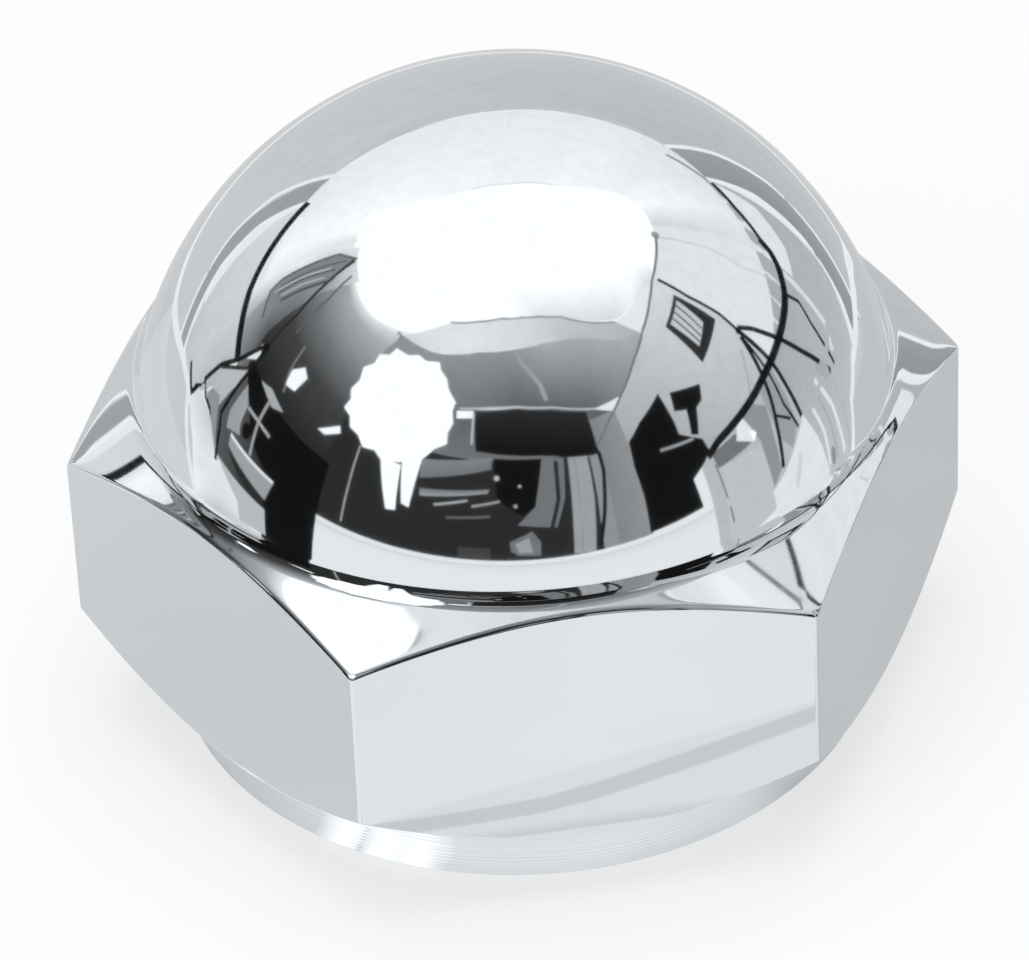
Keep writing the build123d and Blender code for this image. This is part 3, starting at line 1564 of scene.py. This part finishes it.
def dark_bay_cards() -> list[Card]:
    """Painted shade of the unlit room at the front left: dark sheets, a few lighter patches and rods.

    Returns:
        The cards.
    """
    row_1 = [(-108, 30), (-80, 30), (-60, 29)]
    row_2 = [(-109, 38), (-83, 38), (-60, 38)]
    row_3 = [(-112, 47), (-90, 47), (-62, 50)]
    top = [(-113, 48.5), (-94.3, 49.4), (-80, 51.2), (-63.9, 54.6)]
    return [
        board(-77, -60, -14, 1, Tone.BLACK),
        patch(
            [(-99, 13), (-92.4, 9.5), (-86.6, 4.3), (-75.5, 0.3), (-60, 0), (-60, 15), (-99, 16)],
            Tone.BLACK,
            layer=3,
        ),
        board(-104, -76, -7, 13, Tone.DARK, Tone.BLACK),
        flag([(-106, 13), (-60, 15)], row_1, [Tone.BLACK, Tone.COAL], Tone.CHARCOAL),
        flag(row_1, row_2, Tone.CHARCOAL, Tone.SHADE),
        flag(row_2, row_3, Tone.SHADE, [Tone.MID, Tone.GREY, Tone.GREY]),
        flag(row_3, top, [Tone.MID, Tone.GREY, Tone.GREY], [Tone.PLAIN, Tone.WHITE, Tone.PAPER, Tone.PALE]),
        patch(
            [(-96.5, 11.9), (-92.8, 9.2), (-92.5, 4.5), (-91.3, 2.4), (-96.8, 0.3), (-97.9, 3.8)],
            Tone.MID,
        ),
        disc((-89.6, 4.9), 1.8, Tone.BLACK, layer=6),
        patch([(-93.4, 16), (-88.5, 17.7), (-81, 16.7), (-85.4, 14.8), (-89.9, 15.5)], Tone.GREY),
        rod([(-87, 16.1), (-87.1, 9.4), (-85.6, 1.3)], 1.0, Tone.MID),
        rod([(-92.4, 9), (-87.1, 9.4), (-81.5, 9.2)], 0.8, Tone.GREY),
        rod([(-89.3, 31.3), (-87.4, 24.3), (-84.7, 19.9)], 0.5, Tone.SLATE),
        patch([(-85.7, 21.6), (-87, 25.3), (-83.9, 28.8), (-80.7, 27.7), (-81.7, 22.7)], Tone.SHINE),
        patch([(-68.3, 20.8), (-61.8, 25.5), (-60.6, 23.8), (-65.3, 20.8)], Tone.SHINE),
        patch([(-94.3, 0), (-75.5, 0.3), (-77.1, -4.8), (-93.9, -2)], Tone.MID),
        rod([(-94.3, 0.4), (-75.5, 0.7)], 0.8, Tone.PAPER),
        patch([(-94.6, -2.5), (-77.5, -5), (-77, -7), (-86.5, -5.6)], Tone.COAL),
    ]


def front_cards() -> list[Card]:
    """Painted shade of the dark room behind the camera: dark sheets, with grey patches and rods before them.

    Returns:
        The cards.
    """
    upper_edge = [(-23, 44), (-11, 45.5), (0, 45.9), (15, 44.3), (31, 40.3)]
    return [
        board(-62, 36, 0.8, 30, Tone.COAL),
        board(-66, -22, 28, 55, Tone.SHADE, layer=1),
        flag(
            [(-24, 29), (36, 28)],
            [(-24, 44), (0, 45.5), (15, 44), (31, 40), (36, 38)],
            Tone.SHADE,
            Tone.DARK,
        ),
        flag(
            [(-14.6, 32.6), (7.8, 31.2), (26.6, 28.1)],
            [(-16.5, 44), (0, 45.2), (14, 43.6), (27, 40.5)],
            Tone.BLACK,
            Tone.COAL,
            layer=3,
        ),
        rod(upper_edge, 0.6, Tone.DOVE),
        flag([(-31.5, 22.2), (-8.9, 27.7)], [(-32.2, 27.6), (-9, 31.2)], Tone.SHADE, Tone.SLATE, layer=3),
        flag([(-30.5, 17.2), (-9.9, 20.7)], [(-30.9, 19.4), (-9.3, 22)], Tone.MID, Tone.SHADE, layer=4),
        rod([(-25.9, 15.6), (-15.9, 18.2)], 0.7, Tone.GREY),
        rod([(-14.6, 16.6), (-6.2, 18.5)], 0.7, Tone.MID),
        rod([(-22, 12.5), (-9, 14)], 0.8, Tone.DARK),
        patch([(-8.3, 30.9), (7.7, 30.3), (4.4, 16.6), (0.4, 14), (-7, 19)], Tone.BLACK),
        disc((-7.2, 25.2), 0.8, Tone.DOVE),
        disc((-1.5, 17), 0.6, Tone.MID),
        disc((0, 22.8), 0.5, Tone.GREY),
        patch([(-3.5, 6.4), (3, 9.4), (5.3, 6), (5.1, 1.9), (-1, 2.2), (-3.2, 3.6)], Tone.SHADE),
        patch([(-2, 5.8), (2, 7.6), (3, 3), (-1, 3)], Tone.MID, layer=5),
        rod([(-52.8, 24.1), (-52.4, 12.8), (-52.4, 2.2)], 0.6, Tone.MID),
        patch([(7.8, 30.6), (15, 29.6), (13.5, 18), (10.2, 9.8), (-1.1, 11.4), (4.4, 16.6)], Tone.SHADE),
        rod([(12.2, 29), (11.5, 18), (8.5, 9)], 1.2, Tone.COAL),
        patch([(16.3, 29.4), (22.9, 28.5), (22.2, 16.3), (20.4, 0.8), (14.3, 1.2), (15.2, 14)], Tone.MID),
        rod([(18.5, 29), (17.5, 12), (16.8, 1)], 0.5, Tone.IRON),
        board(22.8, 27, 0.8, 28.2, Tone.IRON, layer=3),
        rod([(23.1, 28), (22.8, 16), (21.8, 1)], 0.7, Tone.COAL, layer=6),
        rod([(26.8, 28.7), (26.8, 23.3), (24.5, 12), (21.5, 0.9)], 1.1, Tone.BLACK, layer=6),
        board(27, 37, 0.8, 38, Tone.SLATE, Tone.IRON, layer=3),
        board(-18, -9, 0.8, 4.5, Tone.CHARCOAL, layer=3),
    ]


def right_cards() -> list[Card]:
    """Painted reflection of the pale reflector on the right, with black boards, patches and rods before it.

    Returns:
        The cards.
    """
    upper_edge = [
        (27, 30.5), (34, 36), (42, 40.5), (54, 46), (67.6, 49.8), (81.8, 51.7), (92, 52.3), (102, 51.3),
        (115, 49.5),
    ]
    curved_rod = [
        (125.4, 17.5), (123.3, 15), (120.4, 13.6), (113.4, 12.7), (101, 14), (88.5, 14.9), (80.4, 14.7),
        (71.6, 14.5), (64.3, 14.2), (59, 12.6),
    ]
    black_rods = [
        (0.9, [(93.9, 50.8), (92.5, 42.1), (93.3, 32.7), (92.7, 26.4)]),
        (1.2, [(93.5, 26.6), (96.6, 22.6), (101.2, 13.7), (104.5, 6.5), (107.8, 0.4), (110.5, -4.6)]),
        (1.3, [(92.7, 26.4), (93.7, 14.6), (93.1, 7), (92.9, -0.5)]),
        (1.3, [(91.8, 25.1), (88.4, 15.7), (85.9, 9.4), (83.4, 3.7), (80.7, -4.8)]),
        (0.8, [(91.7, 23.6), (90.5, 14.3), (89.1, 6), (90.4, -1.3)]),
        (0.7, [(84.5, 6.5), (89, 2)]),
    ]
    patch_bars = [[(86.5, 45), (84.5, 36)], [(83.5, 44.8), (82, 35.5)], [(80.7, 44.6), (80, 35)]]
    black_board = [
        (54.5, 35.1), (43.5, 31.4), (37.3, 27.8), (36.4, 20.7), (36.7, 11.6), (36.3, 1.3), (53, 1.3),
        (52.4, 9.7), (57.4, 11.9), (60.3, 13.7), (59.9, 17.6), (53.8, 22.5), (54.3, 26.6),
    ]
    return [
        flag(
            [(36, 14), (56, 14), (75, 14), (93.5, 14)],
            [(36, 37), (54, 46), (75, 51), (93.5, 52)],
            [Tone.IRON, Tone.GREY, Tone.DOVE, Tone.SILVER],
            [Tone.STONE, Tone.SILVER, Tone.PALE, Tone.CREAM],
            layer=1,
        ),
        flag([(121.5, 13), (120.5, 49.5)], [(93, 13), (93.5, 52)], Tone.PAPER, layer=1),
        board(27, 36.5, 0.8, 30, Tone.SLATE, Tone.IRON, layer=1),
        board(56, 93, -12, 14.5, Tone.DOVE, layer=1),
        flag([(93, -22), (93, 14)], [(122, -14), (133, -5), (139.5, 24)], [Tone.SILVER, Tone.GREY], layer=1),
        patch(
            [(121, 13.3), (126, 17), (131, 19), (139.5, 24), (135, 13), (128, 9), (121, 9)],
            Tone.PAPER,
            layer=2,
        ),
        rod(upper_edge, 0.7, Tone.SHADE),
        rod(curved_rod, 2.2, Tone.BLACK, layer=6),
        rod([(125.4, 17), (132, 20.5), (138.5, 22.5)], 1.4, Tone.BLACK, layer=6),
        rod([(138.5, 23), (147, 27.5)], 1.0, Tone.IRON),
        *[rod(path, width, Tone.BLACK, layer=6) for width, path in black_rods],
        disc((92.7, 26.2), 0.9, Tone.BLACK, layer=6),
        patch([(90.3, 45.9), (90.7, 33.2), (75, 31.6), (75.8, 45.1)], Tone.COAL),
        patch([(88.7, 44.8), (86.8, 36.2), (78.6, 34.6), (78, 44.2)], Tone.CLOUD, layer=5),
        *[rod(path, 0.5, Tone.SOOT, layer=6) for path in patch_bars],
        rod([(88.5, 24), (80, 14.6)], 0.4, Tone.MID),
        patch(black_board, Tone.BLACK),
        patch(
            [
                (58.3, 33.2), (69.1, 28.9), (66.3, 25.6), (63.3, 25.1), (59.4, 19.2), (57.3, 20.4),
                (60, 26.6), (56.1, 28.4),
            ],
            Tone.BLACK,
        ),
        rod([(46, 21.6), (57.3, 19.2)], 0.8, Tone.MID),
        patch([(60.4, 12.5), (69.9, 12.4), (73.6, 7.1), (65.2, 7.7), (60.8, 8.1)], Tone.SHADE),
        patch(
            [
                (74, 13.5), (80, 13.5), (83.4, 10.3), (81.3, 3.6), (79.9, -4.7), (76.1, -6.9),
                (76.1, -0.2), (76.6, 5.5),
            ],
            Tone.IRON,
        ),
        patch([(84, 13.5), (92, 13.5), (90.5, 0), (86, -3.5), (82.5, 2)], Tone.MID),
        patch(
            [(71.9, 13.7), (74.6, 13.5), (75.6, 9.7), (76.5, 7.9), (74.7, 6.7), (69.4, 10.5)],
            Tone.PLAIN,
            layer=5,
        ),
        patch([(74.5, 10), (76.5, 7.9), (74.7, 6.7)], Tone.GLOW, layer=6),
        flag([(60.8, 8.1), (76, 5)], [(59, -14), (76, -12)], Tone.SILVER, layer=3),
        rod([(60.3, 9.6), (60.7, 0.9), (61.2, -7.5)], 0.5, Tone.SHADE),
        rod([(114.5, 12), (115.8, 8.2), (114, 4.1), (113.5, 0.3), (113.4, -5.5)], 0.9, Tone.BLACK),
        rod([(119.8, 12.2), (119.1, 5.8), (118.6, -1), (115.2, -4.3)], 1.6, Tone.CREAM, layer=4),
        rod([(114.6, 48), (114.5, 35.1), (113.1, 25.8), (116, 14)], 0.4, Tone.CLOUD),
        disc((115.5, 49.5), 1.1, Tone.IRON),
        patch([(75.5, -7.6), (81, -6), (93.4, -0.6), (96, -8), (98, -17), (93, -26), (76, -22)], Tone.PAPER),
        rod([(88, -6), (84, -12)], 1.6, Tone.PALE),
        rod([(97.5, -1.7), (99, -9), (98.6, -16)], 1.1, Tone.PAPER),
        rod([(103, 0), (105.5, -8), (106, -18)], 1.3, Tone.PAPER),
        rod([(101.5, -3), (102.5, -10), (102.5, -17)], 0.7, Tone.GREY),
        rod([(109, -4), (110, -12), (109, -19)], 0.6, Tone.STONE),
        disc((100.6, -15.4), 1.1, Tone.IRON, tall=1.6),
        patch([(105, 1), (109, 0), (111, -5), (107, -4)], Tone.GREY),
    ]


def overhead_cards() -> list[Card]:
    """Painted reflection of the grey canopy, the light band beyond it and the large softbox straight above.

    Returns:
        The cards.
    """
    canopy_low = [
        (-66, 40), (-40, 43), (-17, 44.7), (0, 45.9), (15, 44.3), (30, 40.5), (42, 40.5), (54, 46),
        (64, 49),
    ]
    canopy_high = [
        (-63, 55), (-42, 56.5), (-20, 61), (0, 62.5), (20, 63), (35, 61.5), (45, 58.5), (56, 53),
        (66, 50),
    ]
    band_high = [
        (-60, 57), (-45.9, 66), (-28, 69.5), (-10, 71.8), (10, 71.8), (25, 70.7), (38.6, 68.1),
        (50, 62.5), (62, 57),
    ]
    painted_softbox_low = [
        (-182, 63.2), (-163, 63), (-152, 61.5), (-143, 58.5), (-137, 53), (-130.5, 46), (-119, 47),
        (-109, 49.2), (-94.3, 49), (-81.3, 51), *band_high, (70, 56), (79, 55), (97.4, 52.2),
        (115.3, 49.5), (129.5, 48.8), (136, 51), (142, 55), (149, 58.5), (156, 61), (165, 62),
        (178, 63.2),
    ]
    painted_softbox_high = [(azimuth, ZENITH) for azimuth, _ in painted_softbox_low]
    canopy_tones = [
        Tone.SLATE, Tone.SHADE, Tone.SHADE, Tone.DARK, Tone.DARK, Tone.DARK, Tone.SLATE, Tone.MID,
        Tone.GREY,
    ]
    return [
        flag(canopy_low, canopy_high, canopy_tones, 4 * [Tone.IRON] + 5 * [Tone.GREY]),
        rod([(1.3, 62.3), (3.6, 58.9), (8.1, 55.4), (11.7, 51.2), (12.9, 46.6)], 1.3, Tone.MID, layer=4),
        flag(
            canopy_high,
            band_high,
            [
                Tone.PALE, Tone.PAPER, Tone.PAPER, Tone.CREAM, Tone.PALE, Tone.SILVER, Tone.DOVE,
                Tone.DOVE, Tone.GREY,
            ],
            [
                Tone.PAPER, Tone.PAPER, Tone.PAPER, Tone.CREAM, Tone.CREAM, Tone.PALE, Tone.CLOUD,
                Tone.SILVER, Tone.DOVE,
            ],
        ),
        rod(band_high[1:], 0.6, Tone.IRON),
        # The softbox's painted reflection: a glowing card, no lamp; the overhead lamp, which mirrors don't
        # see, gives the light.
        replace(flag(painted_softbox_low, painted_softbox_high, Tone.GLOW, layer=1), steps=96),
        flag(
            [(0, 72), (20, 71.3), (38.6, 68.4), (52, 62.3), (64, 57), (76, 55.4), (86, 54), (96, 52.3)],
            [(0, 85), (25, 81), (50, 77), (70, 71), (82, 65), (90, 60), (97, 57), (102, 54)],
            [Tone.GLOW, Tone.PLAIN, Tone.PAPER, Tone.CREAM, Tone.CREAM, Tone.LIGHT, Tone.CREAM, Tone.PAPER],
            Tone.GLOW,
        ),
    ]


def lamp_glint_cards() -> list[Card]:
    """The bare lamp's painted glint at the front left, with its jagged outline, and the streaks below it.

    Returns:
        The cards.
    """
    jagged = [
        (-60.6, 51.5), (-54, 52), (-49.5, 53.8), (-45, 53.4), (-38.6, 54.8), (-36, 52.8), (-31.9, 51.2),
        (-29.5, 48.5), (-25, 45.5), (-25.5, 43), (-24.1, 39.5), (-25.3, 36.5), (-24.8, 33.3),
        (-28.6, 31.2), (-31.5, 27.8), (-36, 26.6), (-39, 24.4), (-45.3, 23.4), (-48, 24.8), (-52, 24),
        (-55, 26.2), (-58.7, 26.8), (-60.5, 29.2), (-63.8, 30), (-63.4, 33), (-65.4, 35), (-64.6, 38.4),
        (-66.6, 41.6), (-64.2, 44.2), (-64.8, 47.2), (-61.2, 48.8),
    ]
    return [
        patch(jagged, Tone.GLOW, layer=6),
        patch([(-45.3, 24), (-39.9, 10.7), (-37, 11.2), (-38.2, 24)], Tone.GLOW, layer=6),
        patch([(-38.4, 26), (-35.6, 13.6), (-33.2, 13), (-31.8, 29)], Tone.GLOW, layer=6),
        rod([(-23.6, 42.2), (-17, 43)], 2.2, Tone.SHINE, layer=6),
        rod([(-17, 43.4), (-16.2, 34.4)], 0.7, Tone.DOVE, layer=6),
    ]


def ring(radius: float, start: float, end: float, count: int = 29) -> list[Point]:
    """Points of a circle on the floor, in millimetres, at angles in degrees from -Y towards +X."""
    angle = np.radians(np.linspace(start, end, count))
    return np.stack([radius * np.sin(angle), -radius * np.cos(angle)], axis=1).tolist()


def floor_cards() -> list[Card]:
    """Painted shade on the floor, greyer on both sides; a darker band in front; painted highlights.

    Returns:
        The cards.
    """
    dark_band_far = [
        (-12, -20.8), (-6.48, -20.93), (-3.77, -20.94), (-0.83, -21.15), (1.4, -21.63), (5.53, -22.8),
        (10.32, -24.28), (20, -27.3),
    ]
    dark_band_near = [
        (-12, -20.0), (-3.91, -20.14), (-0.99, -20.25), (1.22, -20.65), (5.33, -21.75), (10.13, -23.34),
        (20, -26.4),
    ]
    shadowed_left = 9 * [Tone.DOVE] + [Tone.SILVER, Tone.CLOUD] + 5 * [Tone.PALE]
    shadowed_right = 3 * [Tone.CLOUD] + 10 * [Tone.GREY]
    beside_left = 10 * [Tone.PALE] + [Tone.CREAM] + 6 * [Tone.PLAIN]
    beside_right = [Tone.PAPER, Tone.CREAM] + 10 * [Tone.PALE]
    left_shine = [Tone.CLOUD, Tone.PAPER, Tone.GLOW, Tone.GLOW, Tone.PLAIN]
    right_shine = [
        Tone.PAPER, Tone.GLOW, Tone.GLOW, Tone.BRIGHT, Tone.GLOW, Tone.GLOW, Tone.PAPER, Tone.CLOUD,
    ]
    return [
        # Painted shade: the floor just in front of the nut, a little darker than beyond the band.
        ground([(-8.2, -10), (8.2, -10)], [(-12, -20.1), (20, -26.5)], Tone.CREAM),
        # A darker band across the floor in front, which the front flat mirrors.
        ground(dark_band_near, dark_band_far, Tone.CLOUD, layer=3),
        ground([(-12, -20.1), (20, -26.5)], [(-60, -90), (60, -90)], Tone.PAPER),
        # Painted shade: the floor on both sides, greyer where the nut shades it and the light falls off.
        ground(
            [(-8.2, -10), (-11.5, 0), (-8.6, 10)],
            [(-60, -36), (-75, 0), (-45, 60)],
            Tone.CLOUD,
            Tone.PALE,
            layer=2,
        ),
        ground(
            [(8.2, -10), (11.5, 0), (8.6, 10)],
            [(50, -55), (75, 0), (45, 60)],
            Tone.DOVE,
            Tone.SILVER,
            layer=2,
        ),
        # Painted shade: a darker strip beside the front flat's foot, the nut's contact shadow.
        ground([(-12, -19.1), (12, -19.1)], [(-12, -19.6), (12, -20.0)], Tone.CLOUD, Tone.CREAM, layer=2),
        # Painted shade: the floor behind the nut, greyer.
        ground([(-8.6, 10), (8.6, 10)], [(-45, 60), (45, 60)], Tone.SILVER, layer=1),
        # A ring round the collar's foot: painted contact shadow on its inner edge, lighter floor on its
        # outer edge, which the turned lines mirror.
        ground(
            ring(13.4, -150, 130),
            ring(16.4, -150, 130),
            shadowed_left + shadowed_right,
            beside_left + beside_right,
            layer=4,
        ),
        # Painted highlights: glowing patches that the collar mirrors as its white highlights.
        ground(ring(13.4, -47, -38.8), ring(17.0, -48, -39.5), left_shine, Tone.GLOW, layer=5),
        ground(ring(13.4, -38, -22.5), ring(17.0, -38.8, -23.5), right_shine, Tone.GLOW, layer=5),
        # Painted highlight: a glowing strip at the front left that the lower edge of the left flat mirrors.
        ground(ring(16.4, -92, -40), ring(17.4, -92, -40), Tone.GLOW, layer=4),
    ]


# Studio


@dataclass(frozen=True)
class Lamp:
    """A square area lamp that faces the nut and that mirrors don't see."""

    name: str
    place: tuple[float, float, float]
    side: float
    watts: float

    def build(self) -> None:
        """Hangs the lamp."""
        data = bpy.data.lights.new(self.name, "AREA")
        data.shape, data.size, data.energy = "SQUARE", self.side, self.watts
        lamp = bpy.data.objects.new(self.name, data)
        lamp.location = self.place
        lamp.rotation_euler = Vector(self.place).to_track_quat("Z", "Y").to_euler()
        lamp.visible_glossy = False
        bpy.context.scene.collection.objects.link(lamp)


@dataclass(frozen=True)
class Studio:
    """Floor, lamps, world, and glowing cards: the painted reflection of surroundings that the chrome
    mirrors.
    """

    camera: ProductCamera
    sizes: NutSizes
    sphere_radius: float = 0.6
    layer_gap: float = 12 * MM
    floor_layer_gap: float = 0.02 * MM
    floor_radius: float = 2.0
    floor_sides: int = 64
    floor_drop: float = 0.01 * MM
    paper_colour: float = 0.95
    own_light: float = 0.62
    fill_light: float = 0.55
    mirror_rounds: int = 4
    mottle: float = 0.22
    mottle_scale: float = 34.0
    mottle_detail: float = 4.0
    mottle_roughness: float = 0.6
    lamps: tuple[Lamp, ...] = (
        Lamp("overhead_lamp", (0.0, 0.0, 0.7), side=0.5, watts=2.2),
        Lamp("key_lamp", (-0.45, -0.45, 0.53), side=0.4, watts=0.9),
    )

    def mirrored_places(self, degrees: np.ndarray, layer: int) -> np.ndarray:
        """Where something must stand for the camera to see it mirrored in the crown.

        The crown is a sphere. The spot that mirrors a direction has the normal halfway between
        that direction and the way to the camera, and is found in a few rounds. The place lies
        from that spot in the direction, as far as the sphere or the floor.

        Args:
            degrees: azimuths right of the camera, and elevations.
            layer: higher layers stand a little nearer.
        Returns:
            The places.
        """
        azimuth = np.radians(degrees[..., 0]) + self.camera.azimuth
        elevation = np.radians(degrees[..., 1])
        way = np.stack(
            [
                np.sin(azimuth) * np.cos(elevation),
                -np.cos(azimuth) * np.cos(elevation),
                np.sin(elevation),
            ],
            axis=-1,
        )
        radius = self.sizes.dome_radius
        centre = np.array([0.0, 0.0, self.sizes.dome_height])
        spot = np.broadcast_to(centre, way.shape)
        for _ in range(self.mirror_rounds):
            to_camera = self.camera.place() - spot
            to_camera /= np.linalg.norm(to_camera, axis=-1, keepdims=True)
            normal = way + to_camera
            normal /= np.linalg.norm(normal, axis=-1, keepdims=True)
            spot = centre + radius * normal
        reach = self.sphere_radius - layer * self.layer_gap
        along = (spot * way).sum(axis=-1)
        to_sphere = np.sqrt(along**2 + reach**2 - (spot**2).sum(axis=-1)) - along
        falling = np.maximum(-way[..., 2], LEAST_FALL)
        to_floor = (spot[..., 2] - layer * self.floor_layer_gap) / falling
        return spot + np.minimum(to_sphere, to_floor)[..., None] * way

    def floor_places(self, millimetres: np.ndarray, layer: int) -> np.ndarray:
        """Points of the floor, a hair higher for each layer."""
        height = np.full((len(millimetres), 1), layer * self.floor_layer_gap)
        return np.concatenate([millimetres * MM, height], axis=-1)

    def card_material(self) -> bpy.types.Material:
        """Glows with the brightness stored at its points, a little uneven: painted light and shade, no lamp.

        Returns:
            The material.
        """
        material, tree = new_glow("studio_card")
        stored = tree.add("ShaderNodeAttribute", attribute_name="radiance")
        emission = tree.add("ShaderNodeEmission")
        out = tree.add("ShaderNodeOutputMaterial")
        place = tree.add("ShaderNodeTexCoord").outputs["Object"]
        uneven = tree.noise(place, self.mottle_scale, self.mottle_detail, self.mottle_roughness)
        factor = tree.math("MULTIPLY_ADD", uneven, self.mottle, 1 - self.mottle * NOISE_MIDDLE)
        tree.link(tree.math("MULTIPLY", stored.outputs["Fac"], factor), emission.inputs["Strength"])
        tree.link(emission.outputs["Emission"], out.inputs["Surface"])
        return material

    def build_cards(self, name: str, cards: Sequence[Card], material: bpy.types.Material) -> None:
        """Puts a group of cards into one mesh that only mirrors see.

        Args:
            name: the mesh's name.
            cards: the cards.
            material: what they are made of.
        """
        points, tones, faces, first = [], [], [], 0
        for card in cards:
            coordinates, brightness, corners = card.surface()
            place = self.floor_places if card.on_floor else self.mirrored_places
            points.append(place(coordinates, card.layer))
            tones.append(brightness)
            faces.extend((corners + first).tolist())
            first += brightness.size
        mesh = bpy.data.meshes.new(name)
        mesh.from_pydata(np.vstack(points).tolist(), [], faces)
        stored = mesh.attributes.new("radiance", "FLOAT", "POINT")
        stored.data.foreach_set("value", np.concatenate(tones).astype(np.float32))
        mesh.materials.append(material)
        cards_object = bpy.data.objects.new(name, mesh)
        bpy.context.scene.collection.objects.link(cards_object)
        for sight in ("camera", "diffuse", "transmission", "volume_scatter", "shadow"):
            setattr(cards_object, f"visible_{sight}", False)
        cards_object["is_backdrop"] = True
        log.info("%s: %d cards", name, len(cards))

    def floor_material(self) -> bpy.types.Material:
        """White paper. Part of its light to the camera is its own, so that it stays pale.

        Returns:
            The material, which can't be seen from below.
        """
        material, tree = new_glow("floor_paper")
        lit = tree.add("ShaderNodeBsdfDiffuse")
        lit.inputs["Color"].default_value = (*3 * [self.paper_colour], 1.0)
        own = tree.add("ShaderNodeEmission")
        clear = tree.add("ShaderNodeBsdfTransparent")
        share = tree.math("MULTIPLY", tree.seen(), self.own_light)
        paper = tree.add("ShaderNodeMixShader")
        tree.link(share, paper.inputs["Fac"])
        tree.link(lit.outputs["BSDF"], paper.inputs[1])
        tree.link(own.outputs["Emission"], paper.inputs[2])
        sides = tree.add("ShaderNodeMixShader")
        geometry = tree.add("ShaderNodeNewGeometry")
        tree.link(geometry.outputs["Backfacing"], sides.inputs["Fac"])
        tree.link(paper.outputs["Shader"], sides.inputs[1])
        tree.link(clear.outputs["BSDF"], sides.inputs[2])
        out = tree.add("ShaderNodeOutputMaterial")
        tree.link(sides.outputs["Shader"], out.inputs["Surface"])
        return material

    def build_floor(self) -> None:
        """Lays the round floor."""
        turn = np.linspace(0, FULL_TURN, self.floor_sides, endpoint=False)
        x, y = self.floor_radius * np.cos(turn), self.floor_radius * np.sin(turn)
        points = np.stack([x, y, np.full_like(turn, -self.floor_drop)], axis=1)
        mesh = bpy.data.meshes.new("floor")
        mesh.from_pydata(points.tolist(), [], [list(range(turn.size))])
        mesh.materials.append(self.floor_material())
        floor = bpy.data.objects.new("floor", mesh)
        bpy.context.scene.collection.objects.link(floor)
        floor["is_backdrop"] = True

    def build_world(self) -> None:
        """White surroundings for the camera and for mirrors, and a soft fill for the rest."""
        world = bpy.data.worlds.new("white_surroundings")
        world.use_nodes = True
        tree = NodeTree(world.node_tree)
        background = world.node_tree.nodes["Background"]
        background.inputs["Color"].default_value = (1.0, 1.0, 1.0, 1.0)
        strength = tree.math("MULTIPLY_ADD", tree.seen(), 1 - self.fill_light, self.fill_light)
        tree.link(strength, background.inputs["Strength"])
        bpy.context.scene.world = world

    def build(self) -> None:
        """Builds the whole studio."""
        self.build_floor()
        self.build_world()
        for lamp in self.lamps:
            lamp.build()
        material = self.card_material()
        groups = {
            "sweep": sweep_cards(),
            "bright_wall": bright_cards(),
            "left_side": left_cards(),
            "dark_bay": dark_bay_cards(),
            "front_side": front_cards(),
            "right_side": right_cards(),
            "overhead": overhead_cards(),
            "painted_lamp_glint": lamp_glint_cards(),
            "floor_shade_and_glints": floor_cards(),
        }
        for name, cards in groups.items():
            self.build_cards(f"studio_{name}", cards, material)


def main() -> None:
    """Builds the nut, the camera and the studio, and reports each piece."""
    logging.basicConfig(level=logging.INFO, format="%(message)s")
    bpy.context.scene.view_settings.view_transform = "Standard"
    sizes = NutSizes.from_frame(frame)
    groups = {"polish": polish_group(), "turning": turning_group(), "pits": pits_group()}
    CapNut(sizes, groups).build()
    camera = ProductCamera()
    camera.build()
    Studio(camera, sizes).build()
    boxes = {"cad": CAD_BOX, "visual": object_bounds()}
    {k: [list(map(float, corner)) for corner in v] for k, v in boxes.items()}


if __name__ == "__main__":
    main()
